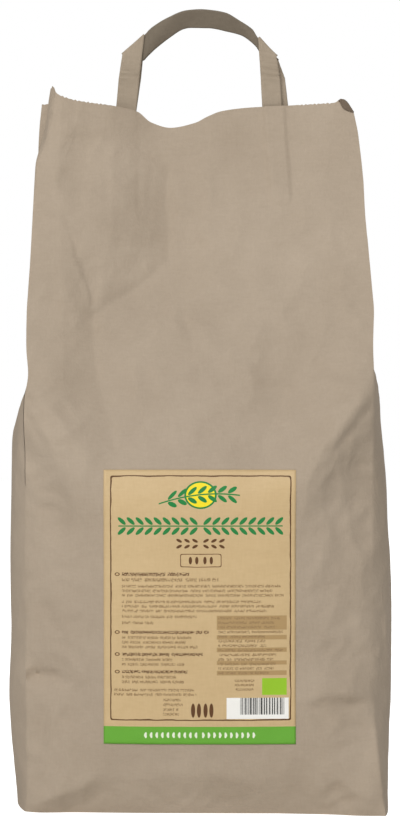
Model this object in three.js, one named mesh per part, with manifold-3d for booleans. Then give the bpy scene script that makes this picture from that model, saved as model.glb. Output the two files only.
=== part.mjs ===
// A five kilogram paper bag of rice: a block-bottom kraft bag whose lower half is filled, whose side gussets fold in
// above the rice, whose top edge is pressed shut round two flat paper handles, and which wears a paper label in front.
// Millimetres, +Z up, the label faces -Y, and the origin is under the middle of the bag on the surface it stands on.
import * as THREE from "three";
import { mergeVertices } from "three/addons/utils/BufferGeometryUtils.js";
import Module from "manifold-3d";

// Driving sizes of the bag
const GUSSET = 112;
const TOP = 421;
const FILL_TOP = 222;
const MOUTH = 397;
const EDGE_START = 380;

// Driving sizes of the label and the handles
const LABEL_WIDTH = 111.4;
const LABEL_LOW = 41.4;
const LABEL_HIGH = 200.4;
const LABEL_X = -0.2;
const LABEL_GAP = 0.5;
const LABEL_THICK = 0.4;
const STRAP_THICK = 0.8;
const STRAP_FOLD_GAP = 0.5;
const STRAP_FOOT = 405;
const SLOT_CLEARANCE = 0.3;
const PAPER_OVER_STRAP = 1.5;
const FOLD_STANDOFF = 4.6;
const HANDLES = {
  handle_front: { side: -1, widen: 1, shift: { x: 0, z: 0 } },
  handle_back: { side: 1, widen: 1.02, shift: { x: 1.2, z: 0.6 } },
};

// How the bag is divided into faces
const FLAP_COLUMNS = 6;
const MIDDLE_COLUMNS = 12;
const FLAP_EDGE = 0.42;

const clamp = (v, low, high) => Math.min(high, Math.max(low, v));
const mix = (a, b, t) => a + (b - a) * t;
const mixPoints = (a, b, t) => a.map((v, i) => mix(v, b[i], t));

function smoothStep(from, to, v) {
  const t = clamp((v - from) / (to - from), 0, 1);
  return t * t * (3 - 2 * t);
}

function smoothMin(a, b, blend) {
  const h = clamp(0.5 + (0.5 * (b - a)) / blend, 0, 1);
  return mix(b, a, h) - blend * h * (1 - h);
}

// A curve through [place, value] stations that never overshoots them.
function profile(stations, at) {
  const last = stations.length - 1;
  if (at <= stations[0][0]) return stations[0][1];
  if (at >= stations[last][0]) return stations[last][1];
  const rise = (k) => (stations[k + 1][1] - stations[k][1]) / (stations[k + 1][0] - stations[k][0]);
  const tangent = (k) => {
    if (k === 0 || k === last) return rise(k === 0 ? 0 : last - 1);
    const [before, after] = [rise(k - 1), rise(k)];
    return before * after <= 0 ? 0 : (2 * before * after) / (before + after);
  };
  const k = stations.findIndex((s, i) => i < last && at <= stations[i + 1][0]);
  const span = stations[k + 1][0] - stations[k][0];
  const t = (at - stations[k][0]) / span;
  return (
    stations[k][1] * (1 + 2 * t) * (1 - t) ** 2 +
    tangent(k) * span * t * (1 - t) ** 2 +
    stations[k + 1][1] * t * t * (3 - 2 * t) +
    tangent(k + 1) * span * t * t * (t - 1)
  );
}

// A polyline through [place, value] stations.
function straight(stations, at) {
  const k = Math.max(1, stations.findIndex(([place]) => at <= place));
  const [[from, low], [to, high]] = [stations[k - 1], stations[k]];
  return mix(low, high, (at - from) / (to - from));
}

// The filled block and the wedge above it, as [height, size] stations
const HALF_WIDTH = [
  [0, 105.5], [15, 104], [30, 103.1], [60, 102.1], [258, 102], [294, 103.3], [306, 102.9], [355, 100.1], [380, 98.9],
  [405, 98], [TOP, 96.2],
];
const LEAN = [[0, 3], [15, 1.8], [30, 1], [60, -0.2], [100, -0.6], [258, -0.4], [300, 0], [380, -1], [TOP, -2.2]];
const CREASE_DEPTH = [[0, 52], [12, 55], [60, 55.5], [150, 55], [230, 52], [300, 48], [TOP, 44]];
const FRONT_BULGE = [[0, 2], [12, 6], [50, 11], [110, 13], [180, 12], [260, 9], [TOP, 6]];
const SIDE_BULGE = [
  [0, 7.6], [15, 10], [28, 11.8], [40, 12.8], [64, 13.8], [125, 13.5], [186, 12], [223, 10], [240, 8.4], [TOP, 6],
];
const SHUT_HALF_DEPTH = 3.6;
const WEDGE_SLOPE = 0.303;
const MOUTH_SPLAY = 5.4;
const POCKET_SLOPE = 1.1;

// The rows of faces bend with the paper: [row, height] at the middle of a gusset, and the tilt of the rows across the
// panels, which sets the left shoulder lower than the right.
const SHOULDER = 253;
const POCKET_ROWS = [[0, 0], [200, 200], [SHOULDER, FILL_TOP], [SHOULDER + 9, SHOULDER], [300, 300], [TOP, TOP]];
const ROW_TILT = [[0, 0], [200, 0], [SHOULDER, 1], [300, 0], [TOP, 0]];
const SHOULDER_OFFSET = { left: -6, right: 8 };

// The top edges, as [x, height], and the wave that both panels take near the mouth, as [-1 to 1 across, distance back]
const FRONT_TOP_EDGE = [
  [-92, 432.8], [-88.7, 430], [-79.5, 425.1], [-70, 423], [-52, 420.6], [-38.4, 417], [-30.4, 410],
  [-18.3, 405.5], [-2.4, 409.3], [4.9, 413.4], [14, 417.2], [30, 419.2], [58, 420.6], [76, 421.6], [82, 422.2],
  [85.4, 424.6], [93.4, 416.6],
];
const BACK_TOP_EDGE = [[-98, 421], [-52, 419], [-18, 403.5], [12, 414], [38, 418.4], [95, 420]];
const MOUTH_WAVE = [[-1, 9], [-0.72, 6], [-0.45, 2], [-0.21, -4], [0.1, -2.5], [0.5, 0], [1, 3]];
const CORNER_CURL = { back: 4, inward: 6 };

// Folds in the paper. Each is a line of [x, height, relief] points, with the widths of its flanks to the left and to
// the right of the way it runs.
const FRONT_FOLDS = [
  { line: [[-21, 430, 4], [-21, 321, 5], [-64, 293, 4], [-67, 268, 2.5], [-61, 232, 2], [-57, 208, 0]], flanks: [46, 24] },
  { line: [[104, 243, 1], [89, 228, 3], [72, 200, 3.4], [64, 181, 2], [62, 165, 0]], flanks: [20, 30] },
  { line: [[56, 285, 0], [38, 242, -2.2], [30, 212, 0]], flanks: [18, 18] },
  { line: [[-101, 4, 1.5], [-84, 13, 2.5], [-62, 24, 0]], flanks: [22, 9] },
  { line: [[104, 66, 2], [84, 64, 1.6], [66, 68, 0]], flanks: [9, 24] },
  { line: [[-106, 79, 1.6], [-94, 76, 1.4], [-80, 70, 0]], flanks: [20, 9] },
];
const BACK_FOLDS = [
  { line: [[103, 246, 1], [82, 226, 3], [60, 190, 0]], flanks: [18, 34] },
  { line: [[-103, 250, 1], [-80, 222, 2.6], [-62, 178, 0]], flanks: [34, 18] },
  { line: [[30, 400, 2.5], [26, 330, 3.6], [52, 290, 2], [60, 256, 0]], flanks: [40, 22] },
  { line: [[-100, 5, 1.5], [-70, 20, 2], [-45, 26, 0]], flanks: [20, 9] },
  { line: [[100, 90, 1.8], [72, 84, 1.2], [58, 88, 0]], flanks: [9, 22] },
];

function foldRelief(folds, x, z) {
  return folds.reduce((sum, { line, flanks }) => {
    let nearest = { distance: Infinity, relief: 0, side: 0 };
    for (let i = 0; i + 1 < line.length; i++) {
      const [ax, az, low] = line[i];
      const [dx, dz] = [line[i + 1][0] - ax, line[i + 1][1] - az];
      const t = clamp(((x - ax) * dx + (z - az) * dz) / (dx * dx + dz * dz), 0, 1);
      const [px, pz] = [x - ax - t * dx, z - az - t * dz];
      const distance = Math.hypot(px, pz);
      if (distance < nearest.distance)
        nearest = { distance, relief: mix(low, line[i + 1][2], t), side: dx * pz - dz * px > 0 ? 0 : 1 };
    }
    const slack = clamp(1 - nearest.distance / flanks[nearest.side], 0, 1);
    return sum + nearest.relief * slack ** 1.4;
  }, 0);
}

// Half the bag's depth at a height, across from one crease (-1) to the other (1): the lesser of the bulging filled
// block and the flat wedge that closes over it.
function halfDepth(across, height) {
  const bulge = profile(FRONT_BULGE, height) * (1 - Math.abs(across) ** 2.4);
  const block = profile(CREASE_DEPTH, height) + bulge;
  const splay = MOUTH_SPLAY * smoothStep(300, MOUTH, height) * across ** 2;
  const wedge = SHUT_HALF_DEPTH + splay + Math.max(0, MOUTH - height) * WEDGE_SLOPE;
  return smoothMin(block, wedge, 5);
}

// The height of a point that would be at this height if the top edge were straight.
function toEdge(height, edge) {
  return height <= EDGE_START ? height : mix(EDGE_START, edge, (height - EDGE_START) / (TOP - EDGE_START));
}

// How far across the bag a point is, from one crease (-1) to the other (1).
const acrossAt = (x, height) => clamp((x - profile(LEAN, height)) / profile(HALF_WIDTH, height), -1, 1);

// The depth of the front (side -1) or back (side 1) panel. Its left top corner curls back if it is the front one.
function panelDepth(side, x, height) {
  const across = acrossAt(x, height);
  const wave = profile(MOUTH_WAVE, across) * smoothStep(300, 400, height);
  const curl = side < 0 ? CORNER_CURL.back * smoothStep(378, TOP, height) * smoothStep(-0.82, -0.97, across) : 0;
  const fade = 1 - Math.abs(across) ** 8;
  const relief = foldRelief(side < 0 ? FRONT_FOLDS : BACK_FOLDS, x, height) * fade;
  return side * (halfDepth(across, height) + relief) + wave + curl;
}

// The height of a row of faces at a place across a panel.
const panelHeight = (across, row) =>
  row + straight(ROW_TILT, row) * mix(SHOULDER_OFFSET.left, SHOULDER_OFFSET.right, (across + 1) / 2);

const edgeHeight = (side, x) => profile(side < 0 ? FRONT_TOP_EDGE : BACK_TOP_EDGE, x);

// A point of the front (side -1) or back (side 1) panel.
function panel(side, across, height) {
  const [middle, halfWidth] = [profile(LEAN, height), profile(HALF_WIDTH, height)];
  const curled = side < 0 ? CORNER_CURL.inward * smoothStep(378, TOP, height) : 0;
  const x = mix(middle - halfWidth + curled, middle + halfWidth, (across + 1) / 2);
  return [x, panelDepth(side, x, height), toEdge(height, edgeHeight(side, x))];
}

// A point of the left (side -1) or right (side 1) gusset, across from the front crease (-1) to the back crease (1).
// The gusset bulges where rice fills it, dives in a pocket over the rice, and is folded to its middle crease above.
function gusset(side, across, row) {
  const out = Math.abs(across);
  const shoulder = SHOULDER + (side < 0 ? SHOULDER_OFFSET.left : SHOULDER_OFFSET.right);
  const height = mix(straight(POCKET_ROWS, row), panelHeight(side, row), out);
  const [front, back] = [panel(-1, side, height), panel(1, side, height)];
  const depth = Math.min((back[1] - front[1]) / 2, GUSSET / 2);
  const bulged = profile(SIDE_BULGE, height) * (1 - out ** 2.3);
  const pocket = POCKET_SLOPE * (mix(FILL_TOP, shoulder, out) - height);
  const folded = Math.sqrt((GUSSET / 2) ** 2 - depth ** 2) * (1 - out);
  const offset = -smoothMin(folded, -smoothMin(bulged, pocket, 2), 1);
  const t = (across + 1) / 2;
  const x = mix(front[0], back[0], t) + side * (height < FILL_TOP - 30 ? bulged : offset);
  const y = mix(panelDepth(-1, x, height), panelDepth(1, x, height), t);
  return [x, y, toEdge(height, mix(edgeHeight(-1, x), edgeHeight(1, x), t))];
}

const span = (from, to, steps) => Array.from({ length: steps }, (_, i) => mix(from, to, i / steps));

const PANEL_PLACES = [
  ...span(-1, -FLAP_EDGE, FLAP_COLUMNS),
  ...span(-FLAP_EDGE, FLAP_EDGE, MIDDLE_COLUMNS),
  ...span(FLAP_EDGE, 1, FLAP_COLUMNS),
];
const GUSSET_PLACES = span(-1, 1, 2 * FLAP_COLUMNS);
const ROWS = [
  ...span(0, 12, 3),
  ...span(12, 40, 3),
  ...span(40, 200, 12),
  ...span(200, SHOULDER, 7),
  ...span(SHOULDER, SHOULDER + 9, 3),
  ...span(SHOULDER + 9, 300, 5),
  ...span(300, 380, 6),
  ...span(380, TOP, 4),
  TOP,
];

// One ring round the bag, counter-clockwise from the front left crease.
function ring(row) {
  return [
    ...PANEL_PLACES.map((s) => panel(-1, s, panelHeight(s, row))),
    ...GUSSET_PLACES.map((q) => gusset(1, q, row)),
    ...PANEL_PLACES.map((s) => panel(1, -s, panelHeight(-s, row))),
    ...GUSSET_PLACES.map((q) => gusset(-1, -q, row)),
  ];
}

// The shut mouth: strips between each panel's flaps and the gusset folded behind them, and one between the panels.
function mouthFaces() {
  const columns = PANEL_PLACES.length;
  const around = 2 * columns + 4 * FLAP_COLUMNS;
  const front = (k) => k;
  const back = (k) => around - 2 * FLAP_COLUMNS - k;
  const halves = [];
  for (let k = 0; k < FLAP_COLUMNS; k++) {
    const [a, b] = [columns - k - 1, columns - k];
    halves.push([front(k), front(k + 1), (around - k - 1) % around, (around - k) % around]);
    halves.push([around - 2 * FLAP_COLUMNS + k, around - 2 * FLAP_COLUMNS + k + 1, back(k + 1), back(k)]);
    halves.push([front(a), front(b), columns + k, columns + k + 1]);
    halves.push([columns + 2 * FLAP_COLUMNS - k - 1, columns + 2 * FLAP_COLUMNS - k, back(b), back(a)]);
  }
  for (let k = FLAP_COLUMNS; k < columns - FLAP_COLUMNS; k++)
    halves.push([front(k), front(k + 1), back(k + 1), back(k)]);
  const faces = halves.flatMap(([a, b, c, d]) => [[a, b, c], [a, c, d]]);
  const leftFold = around - FLAP_COLUMNS;
  const rightFold = columns + FLAP_COLUMNS;
  faces.push([back(FLAP_COLUMNS), leftFold, front(FLAP_COLUMNS)]);
  faces.push([front(columns - FLAP_COLUMNS), rightFold, back(columns - FLAP_COLUMNS)]);
  return faces.filter(([a, b, c]) => a !== b && b !== c && a !== c);
}

function geometryOf(points, faces) {
  const geometry = new THREE.BufferGeometry();
  geometry.setAttribute("position", new THREE.Float32BufferAttribute(points.flat(), 3));
  geometry.setIndex(faces.flat());
  return geometry;
}

function bagGeometry() {
  const points = ROWS.flatMap(ring);
  const around = points.length / ROWS.length;
  const faces = [];
  for (let j = 0; j + 1 < ROWS.length; j++)
    for (let i = 0; i < around; i++) {
      const [a, b] = [j * around + i, j * around + ((i + 1) % around)];
      faces.push([a, b, b + around], [a, b + around, a + around]);
    }
  const topRing = (ROWS.length - 1) * around;
  mouthFaces().forEach((face) => faces.push(face.map((i) => topRing + i)));
  points.push([profile(LEAN, 0), 0, 0]);
  for (let i = 0; i < around; i++) faces.push([(i + 1) % around, i, points.length - 1]);
  return geometryOf(points, faces);
}

// The label, which follows the front panel.
function labelGeometry() {
  const [columns, rows] = [12, 16];
  const at = (i, j, lift) => {
    const z = mix(LABEL_LOW, LABEL_HIGH, j / rows);
    const x = LABEL_X + LABEL_WIDTH * (i / columns - 0.5);
    const across = (x - profile(LEAN, z)) / profile(HALF_WIDTH, z);
    return [x, panel(-1, across, z)[1] - lift, z];
  };
  const points = [LABEL_GAP, LABEL_GAP + LABEL_THICK].flatMap((lift) =>
    Array.from({ length: (columns + 1) * (rows + 1) }, (_, n) =>
      at(n % (columns + 1), Math.floor(n / (columns + 1)), lift)));
  const index = (i, j, layer) => layer * (columns + 1) * (rows + 1) + j * (columns + 1) + i;
  const faces = [];
  const quad = (a, b, c, d) => faces.push([a, b, c], [a, c, d]);
  for (let j = 0; j < rows; j++)
    for (let i = 0; i < columns; i++) {
      quad(index(i, j, 1), index(i + 1, j, 1), index(i + 1, j + 1, 1), index(i, j + 1, 1));
      quad(index(i, j, 0), index(i, j + 1, 0), index(i + 1, j + 1, 0), index(i + 1, j, 0));
    }
  for (let i = 0; i < columns; i++) {
    quad(index(i, 0, 0), index(i + 1, 0, 0), index(i + 1, 0, 1), index(i, 0, 1));
    quad(index(i, rows, 1), index(i + 1, rows, 1), index(i + 1, rows, 0), index(i, rows, 0));
  }
  for (let j = 0; j < rows; j++) {
    quad(index(0, j, 0), index(0, j, 1), index(0, j + 1, 1), index(0, j + 1, 0));
    quad(index(columns, j, 1), index(columns, j, 0), index(columns, j + 1, 0), index(columns, j + 1, 1));
  }
  return geometryOf(points, faces);
}

// The handle is one flat strap: it rises as a leg, turns over at a slanted fold, arches across behind the legs, turns
// over again and goes down. Each edge of a leg is [x, height] at the foot, at the knee and at the fold, and each edge of
// the arch is a curve through such points.
const LEG = {
  left: [
    [[-52.2, STRAP_FOOT], [-49.9, 439], [-47.2, 451.1]],
    [[-38.2, STRAP_FOOT], [-35.7, 439], [-34.7, 462.1]],
  ],
  right: [
    [[51.2, STRAP_FOOT], [49.8, 439], [46.8, 451.1]],
    [[38.2, STRAP_FOOT], [36.4, 439], [35.3, 462.1]],
  ],
};
const ARCH_INNER_EDGE = [
  [-47.2, 451.1], [-40, 446.4], [-34.7, 446.9], [-32.2, 449.9], [-25.6, 456], [-18, 462], [-10.3, 466.9], [-6.1, 467.8],
  [4.9, 467.8], [16, 466.2], [24.9, 463.9], [34.1, 457.2], [40, 449.6], [46.8, 451.1],
];
const ARCH_OUTER_EDGE = [
  [-34.7, 462.1], [-27.4, 469.4], [-18.3, 474.8], [-7.9, 478.5], [0, 479.1], [9.1, 478.2], [15.8, 476.7],
  [26.2, 469.4], [35.3, 462.1],
];
const ARCH_TILT = 2.6;
const ARCH_STEPS = 22;
const LEG_STEPS = 6;
const FOLD_STEPS = 4;

const curveThrough = (points) =>
  new THREE.CatmullRomCurve3(points.map(([x, z]) => new THREE.Vector3(x, 0, z)), false, "chordal");

// The depth at which the front (side -1) or back (side 1) strap lies under its panel's paper.
const strapDepth = (side, x) => panelDepth(side, x, TOP - 6) - side * PAPER_OVER_STRAP;

// The sections of a leg from its foot to its slanted fold, as the leg itself or as the larger slot round it. Each has
// its two edge points, thickness and the way its face looks.
function legSections(side, leg, clearance = 0) {
  const wider = clearance * Math.sign(leg[1][0][0] - leg[0][0][0]);
  return Array.from({ length: LEG_STEPS + 1 }, (_, k) => {
    const t = (2 * k) / LEG_STEPS;
    const edges = leg.map(([foot, knee, fold], n) => {
      const [x, z] = t <= 1 ? mixPoints(foot, knee, t) : mixPoints(knee, fold, t - 1);
      const outside = n === 0 ? -wider : wider;
      const depth = mix(strapDepth(side, foot[0]), side * FOLD_STANDOFF, smoothStep(0.7, 2, t));
      return [x + outside, depth, z - (k === 0 ? clearance : 0)];
    });
    return { edges, facing: [0, side, 0], thickness: STRAP_THICK + 2 * clearance };
  });
}

// The strap turning over round its slanted fold, from the leg's last section to the arch behind it.
function foldSections(side, leg) {
  const { edges, thickness } = leg.at(-1);
  const [[ax, , az], [bx, , bz]] = edges;
  const length = Math.hypot(bx - ax, bz - az);
  const outwards = [(-Math.abs(bz - az) * Math.sign(bx - ax)) / length, 0, Math.abs(bx - ax) / length];
  const halfGap = (STRAP_THICK + STRAP_FOLD_GAP) / 2;
  return Array.from({ length: FOLD_STEPS }, (_, k) => {
    const turn = (Math.PI * (k + 1)) / FOLD_STEPS;
    const facing = [outwards[0] * Math.sin(turn), side * Math.cos(turn), outwards[2] * Math.sin(turn)];
    const moved = [facing[0] * halfGap, (facing[1] - side) * halfGap, facing[2] * halfGap];
    return { edges: edges.map((p) => p.map((v, i) => v + moved[i])), facing, thickness };
  });
}

// The arch between the two folds. Its lower edge leans in over the mouth.
function archSections(side) {
  const [inner, outer] = [curveThrough(ARCH_INNER_EDGE), curveThrough(ARCH_OUTER_EDGE)];
  const behind = side * (FOLD_STANDOFF - STRAP_THICK - STRAP_FOLD_GAP);
  return Array.from({ length: ARCH_STEPS - 1 }, (_, k) => {
    const t = (k + 1) / ARCH_STEPS;
    const tilt = side * ARCH_TILT * smoothStep(0.06, 0.3, t) * smoothStep(0.94, 0.7, t);
    const [a, b] = [inner.getPoint(t), outer.getPoint(t)];
    const across = new THREE.Vector3(b.x - a.x, 2 * tilt, b.z - a.z);
    const along = new THREE.Vector3(across.z, 0, -across.x);
    const facing = across.cross(along).multiplyScalar(-side).normalize().toArray();
    return { edges: [[a.x, behind - tilt, a.z], [b.x, behind + tilt, b.z]], facing, thickness: STRAP_THICK };
  });
}

function strapSections(side) {
  const [left, right] = [legSections(side, LEG.left), legSections(side, LEG.right)];
  return [
    ...left,
    ...foldSections(side, left),
    ...archSections(side),
    ...foldSections(side, right).reverse(),
    ...right.reverse(),
  ];
}

// A closed strap through its sections.
function strapGeometry({ side, widen, shift }, sections) {
  const corners = side < 0 ? [[0, 1], [1, 1], [1, -1], [0, -1]] : [[0, 1], [0, -1], [1, -1], [1, 1]];
  const points = sections.flatMap(({ edges, facing, thickness }) =>
    corners.map(([edge, way]) => edges[edge].map((v, i) => v + (facing[i] * way * thickness) / 2)));
  const faces = [[0, 3, 2], [0, 2, 1]];
  for (let s = 0; s + 1 < sections.length; s++)
    for (let c = 0; c < 4; c++) {
      const [a, b] = [4 * s + c, 4 * s + ((c + 1) % 4)];
      faces.push([a, b, b + 4], [a, b + 4, a + 4]);
    }
  const end = 4 * (sections.length - 1);
  faces.push([end, end + 1, end + 2], [end, end + 2, end + 3]);
  return geometryOf(points, faces).scale(widen, 1, 1).translate(shift.x, 0, shift.z);
}

const wasm = await Module();
wasm.setup();

function solidOf(geometry) {
  const merged = mergeVertices(geometry, 1e-4);
  return new wasm.Manifold(new wasm.Mesh({
    numProp: 3,
    vertProperties: new Float32Array(merged.getAttribute("position").array),
    triVerts: new Uint32Array(merged.getIndex().array),
  }));
}

function geometryFrom(solid) {
  const { vertProperties, triVerts } = solid.getMesh();
  const geometry = new THREE.BufferGeometry();
  geometry.setAttribute("position", new THREE.BufferAttribute(vertProperties, 3));
  geometry.setIndex(new THREE.BufferAttribute(triVerts, 1));
  return geometry;
}

const group = new THREE.Group();

function addPiece(name, geometry, color, roughness) {
  const mesh = new THREE.Mesh(geometry, new THREE.MeshStandardMaterial({ color, roughness, metalness: 0 }));
  mesh.name = name;
  group.add(mesh);
}

let bag = solidOf(bagGeometry());
for (const handle of Object.values(HANDLES)) {
  const [left, right] = [LEG.left, LEG.right].map((leg) => legSections(handle.side, leg, SLOT_CLEARANCE));
  for (const slot of [left, right.reverse()]) bag = bag.subtract(solidOf(strapGeometry(handle, slot)));
}

addPiece("paper_bag", geometryFrom(bag), 0xb2a38f, 0.85);
addPiece("label", labelGeometry(), 0xcdb488, 0.6);
for (const [name, handle] of Object.entries(HANDLES))
  addPiece(name, strapGeometry(handle, strapSections(handle.side)), 0xa3957f, 0.85);

export default group;
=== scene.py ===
import bmesh
import bpy
import numpy as np
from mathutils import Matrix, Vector, noise


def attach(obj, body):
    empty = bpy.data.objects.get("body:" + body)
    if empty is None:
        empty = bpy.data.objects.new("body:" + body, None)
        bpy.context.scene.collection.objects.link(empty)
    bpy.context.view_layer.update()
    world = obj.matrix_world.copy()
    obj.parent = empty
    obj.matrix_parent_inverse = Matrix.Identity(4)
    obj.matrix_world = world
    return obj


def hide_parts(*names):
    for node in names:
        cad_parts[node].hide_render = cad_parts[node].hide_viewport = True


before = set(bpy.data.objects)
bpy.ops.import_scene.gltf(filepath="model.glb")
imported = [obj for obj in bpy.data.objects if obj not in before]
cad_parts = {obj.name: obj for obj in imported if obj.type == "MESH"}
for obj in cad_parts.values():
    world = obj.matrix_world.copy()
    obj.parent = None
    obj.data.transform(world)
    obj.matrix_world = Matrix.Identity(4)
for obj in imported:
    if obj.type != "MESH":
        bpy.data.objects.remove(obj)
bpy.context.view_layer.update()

MM = 0.001
SHARP_FOLD = np.radians(65)

# The seed of the noise that moves the slack paper, so that each run gives the same bag
PAPER_SEED = 2284
noise.seed_set(PAPER_SEED)

# Driving sizes of the bag: the gussets' width, heights above the floor and the paper's thickness
GUSSET = 112.0
TOP = 421.0
FILL_TOP = 222.0
MOUTH = 397.0
EDGE_START = 380.0
PAPER = 0.35

# Driving sizes of the label
LABEL_WIDTH = 111.4
LABEL_LOW = 41.4
LABEL_HIGH = 200.4
LABEL_X = -0.2
LABEL_THICK = 0.12
LABEL_LIFT = 0.3

# Driving sizes of the handles. STRAP_SHEET is a strap's own thickness, and STRAP_THICK is the room that it
# takes in a fold.
STRAP_THICK = 0.8
STRAP_SHEET = 0.75
STRAP_FOLD_GAP = 0.5
STRAP_FOOT = 388.0
PAPER_OVER_STRAP = 1.5
KNEE_STANDOFF = 1.4
FOLD_STANDOFF = 4.6

# The filled block, as [height, size] stations: half its width, how far its middle lies to the right, half its
# depth at the corner creases, and how far the front and back panels bulge past that
HALF_WIDTH = [
    [0, 105.1], [15, 104], [30, 103.1], [60, 102.1], [240, 102], [256, 101.2], [272, 102], [294, 102.8],
    [306, 102.3], [355, 99.6], [380, 98.6], [405, 97.3], [TOP, 95.2],
]
LEAN = [
    [0, 2.5], [15, 1.8], [30, 1], [60, -0.2], [100, -0.6], [240, -0.4], [256, 0.5], [272, -0.2], [300, 0.3],
    [355, -0.5], [380, -0.8], [405, -1.2], [TOP, -1.7],
]
CREASE_DEPTH = [
    [0, 52], [12, 52.5], [40, 49], [80, 47.5], [120, 46.5], [185, 46.5], [205, 48], [250, 57.5], [300, 50],
    [TOP, 44],
]
FRONT_BULGE = [
    [0, 1], [12, 5.5], [30, 11.5], [50, 16], [80, 19.5], [120, 21.5], [155, 21], [185, 17.5], [230, 8],
    [260, 6], [TOP, 4],
]

# How flat the bulge is, and how the line of the shoulders slants across a panel and rises beside the creases
BULGE_POWER = 3
CORNER_REACH = 30.0
CORNER_RISE = 1.3
SHOULDER_TILT = 7.0

# The gussets of the block, pushed out as [height, distance], and the foot of the front panel, pushed forwards
# as [-1 to 1 across, distance]. Below BULGE_ALONE a gusset has no pocket.
LEFT_BULGE = [
    [0, 7.8], [15, 9.7], [28, 11.1], [40, 12.1], [64, 13.3], [99, 12.2], [125, 12.9], [186, 12.3],
    [210, 12.2], [223, 11.7], [240, 9], [TOP, 6],
]
RIGHT_BULGE = [
    [0, 4.2], [15, 7.2], [28, 9.2], [40, 10.7], [64, 13.2], [99, 14.4], [125, 14.4], [142, 14.1],
    [170, 12.1], [186, 11.3], [212, 9.2], [223, 8], [240, 6.8], [TOP, 6],
]
LEFT_BULGE_POWER = 2.3
RIGHT_BULGE_POWER = 3.1
BULGE_ALONE = 192.0
FOOT_FORWARD = [[-1, 0.5], [-0.8, 6], [-0.3, 8.5], [0.4, 9], [1, 15.5]]
FOOT_RISE = 90.0

# The wedge that closes over the block: half its depth at the mouth, the least that folds leave, how much it
# widens downwards and towards its sides, and how softly it meets the block
SHUT_HALF_DEPTH = 3.6
LEAST_HALF_DEPTH = 2.2
WEDGE_SLOPE = 0.303
MOUTH_SPLAY = 5.4
SHOULDER_BLEND = 5.0

# The gusset pockets between the shoulders, where the side paper folds inwards. Rows of points follow the rim
# of a pocket, and they tilt, as the left shoulder lies lower than the right one. The inward folds start at
# heights of their own.
SHOULDER = 253.0
LEFT_SHOULDER_RISE = -6.0
RIGHT_SHOULDER_RISE = 8.0
POCKET_START = 200.0
POCKET_END = 300.0
POCKET_RIM = 9.0
POCKET_SLOPE = 1.1
POCKET_ROWS = [
    [0, 0], [POCKET_START, POCKET_START], [SHOULDER, FILL_TOP], [SHOULDER + POCKET_RIM, SHOULDER],
    [POCKET_END, POCKET_END], [TOP, TOP],
]
ROW_TILT = [[0, 0], [POCKET_START, 0], [SHOULDER, 1], [POCKET_END, 0], [TOP, 0]]
LEFT_FOLD_START = 234.0
RIGHT_FOLD_START = 200.0
FOLD_START_SPAN = 9.0

# The top edges, as [x, height], and the wave that both panels take near the mouth, as [-1 to 1 across,
# distance back]
FRONT_TOP_EDGE = [
    [-92.6, 418], [-91.9, 422.5], [-90.9, 427.6], [-89.8, 431.6], [-88.1, 428.3], [-86.1, 425.8],
    [-81.7, 423.8], [-76.8, 422.4], [-66.7, 420.9], [-52, 419.1], [-38.4, 416.4], [-30.4, 410.4],
    [-18.3, 407.3], [-2.4, 410.3], [4.9, 413.8], [14, 417.2], [30, 419.2], [58, 420.6], [76, 421.6],
    [82, 422], [83.6, 422.7], [85.3, 424], [87.3, 423.9], [93.4, 416.2],
]
BACK_TOP_EDGE = [[-98, 422.3], [-52, 418.2], [-18, 405], [12, 414], [38, 418.4], [95, 420]]
MOUTH_WAVE = [[-1, -6], [-0.6, -6.5], [-0.18, 1.5], [0.1, 0.5], [0.45, 1], [1, 4]]
WAVE_START = 235.0

# The curled left corner: how far it bends back and inwards, the line that its strip turns back at, as
# [height, x], and how steeply the strip turns
CURL_START = 378.0
CURL_BACK = 1.0
CURL_ACROSS = (-0.82, -0.97)
CURL_INWARD = 5.0
CORNER_FOLD = [
    [0, -120], [385, -98.4], [392.8, -95], [398.4, -92.8], [404, -90], [412, -88.7], [TOP, -88.3],
    [TOP + 1, -88.3],
]
CORNER_TURN = 2.3

# The teeth of the cut top edge, which its middle and its right end don't show
TOOTH_PITCH = 2.6
TOOTH_HEIGHT = 0.9
TOOTHLESS_X = 2.0
TOOTHLESS_REACH = 57.0
TEETH_END = 80.0

# Where the glued ends of the handles show through the panels: left, right, lower end, how far they lean over
# PATCH_RISE and how far they stand out. PATCH_SIDE and PATCH_FOOT make their edges soft.
FRONT_PATCHES = [(-54, -38.6, 356, 0.5, 0.25), (41.6, 54.4, 361, 2.2, 1.3)]
BACK_PATCHES = [(-52, -39, 358, 0, 1.1), (40, 54, 358, 0, 1.1)]
PATCH_MIDDLE = 361.0
PATCH_RISE = 50.0
PATCH_SIDE = 1.1
PATCH_FOOT = 1.3

# The glued seam of the back panel
SEAM_START = 58.4
SEAM_END = 59.2
SEAM_STEP = 0.45

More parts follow.
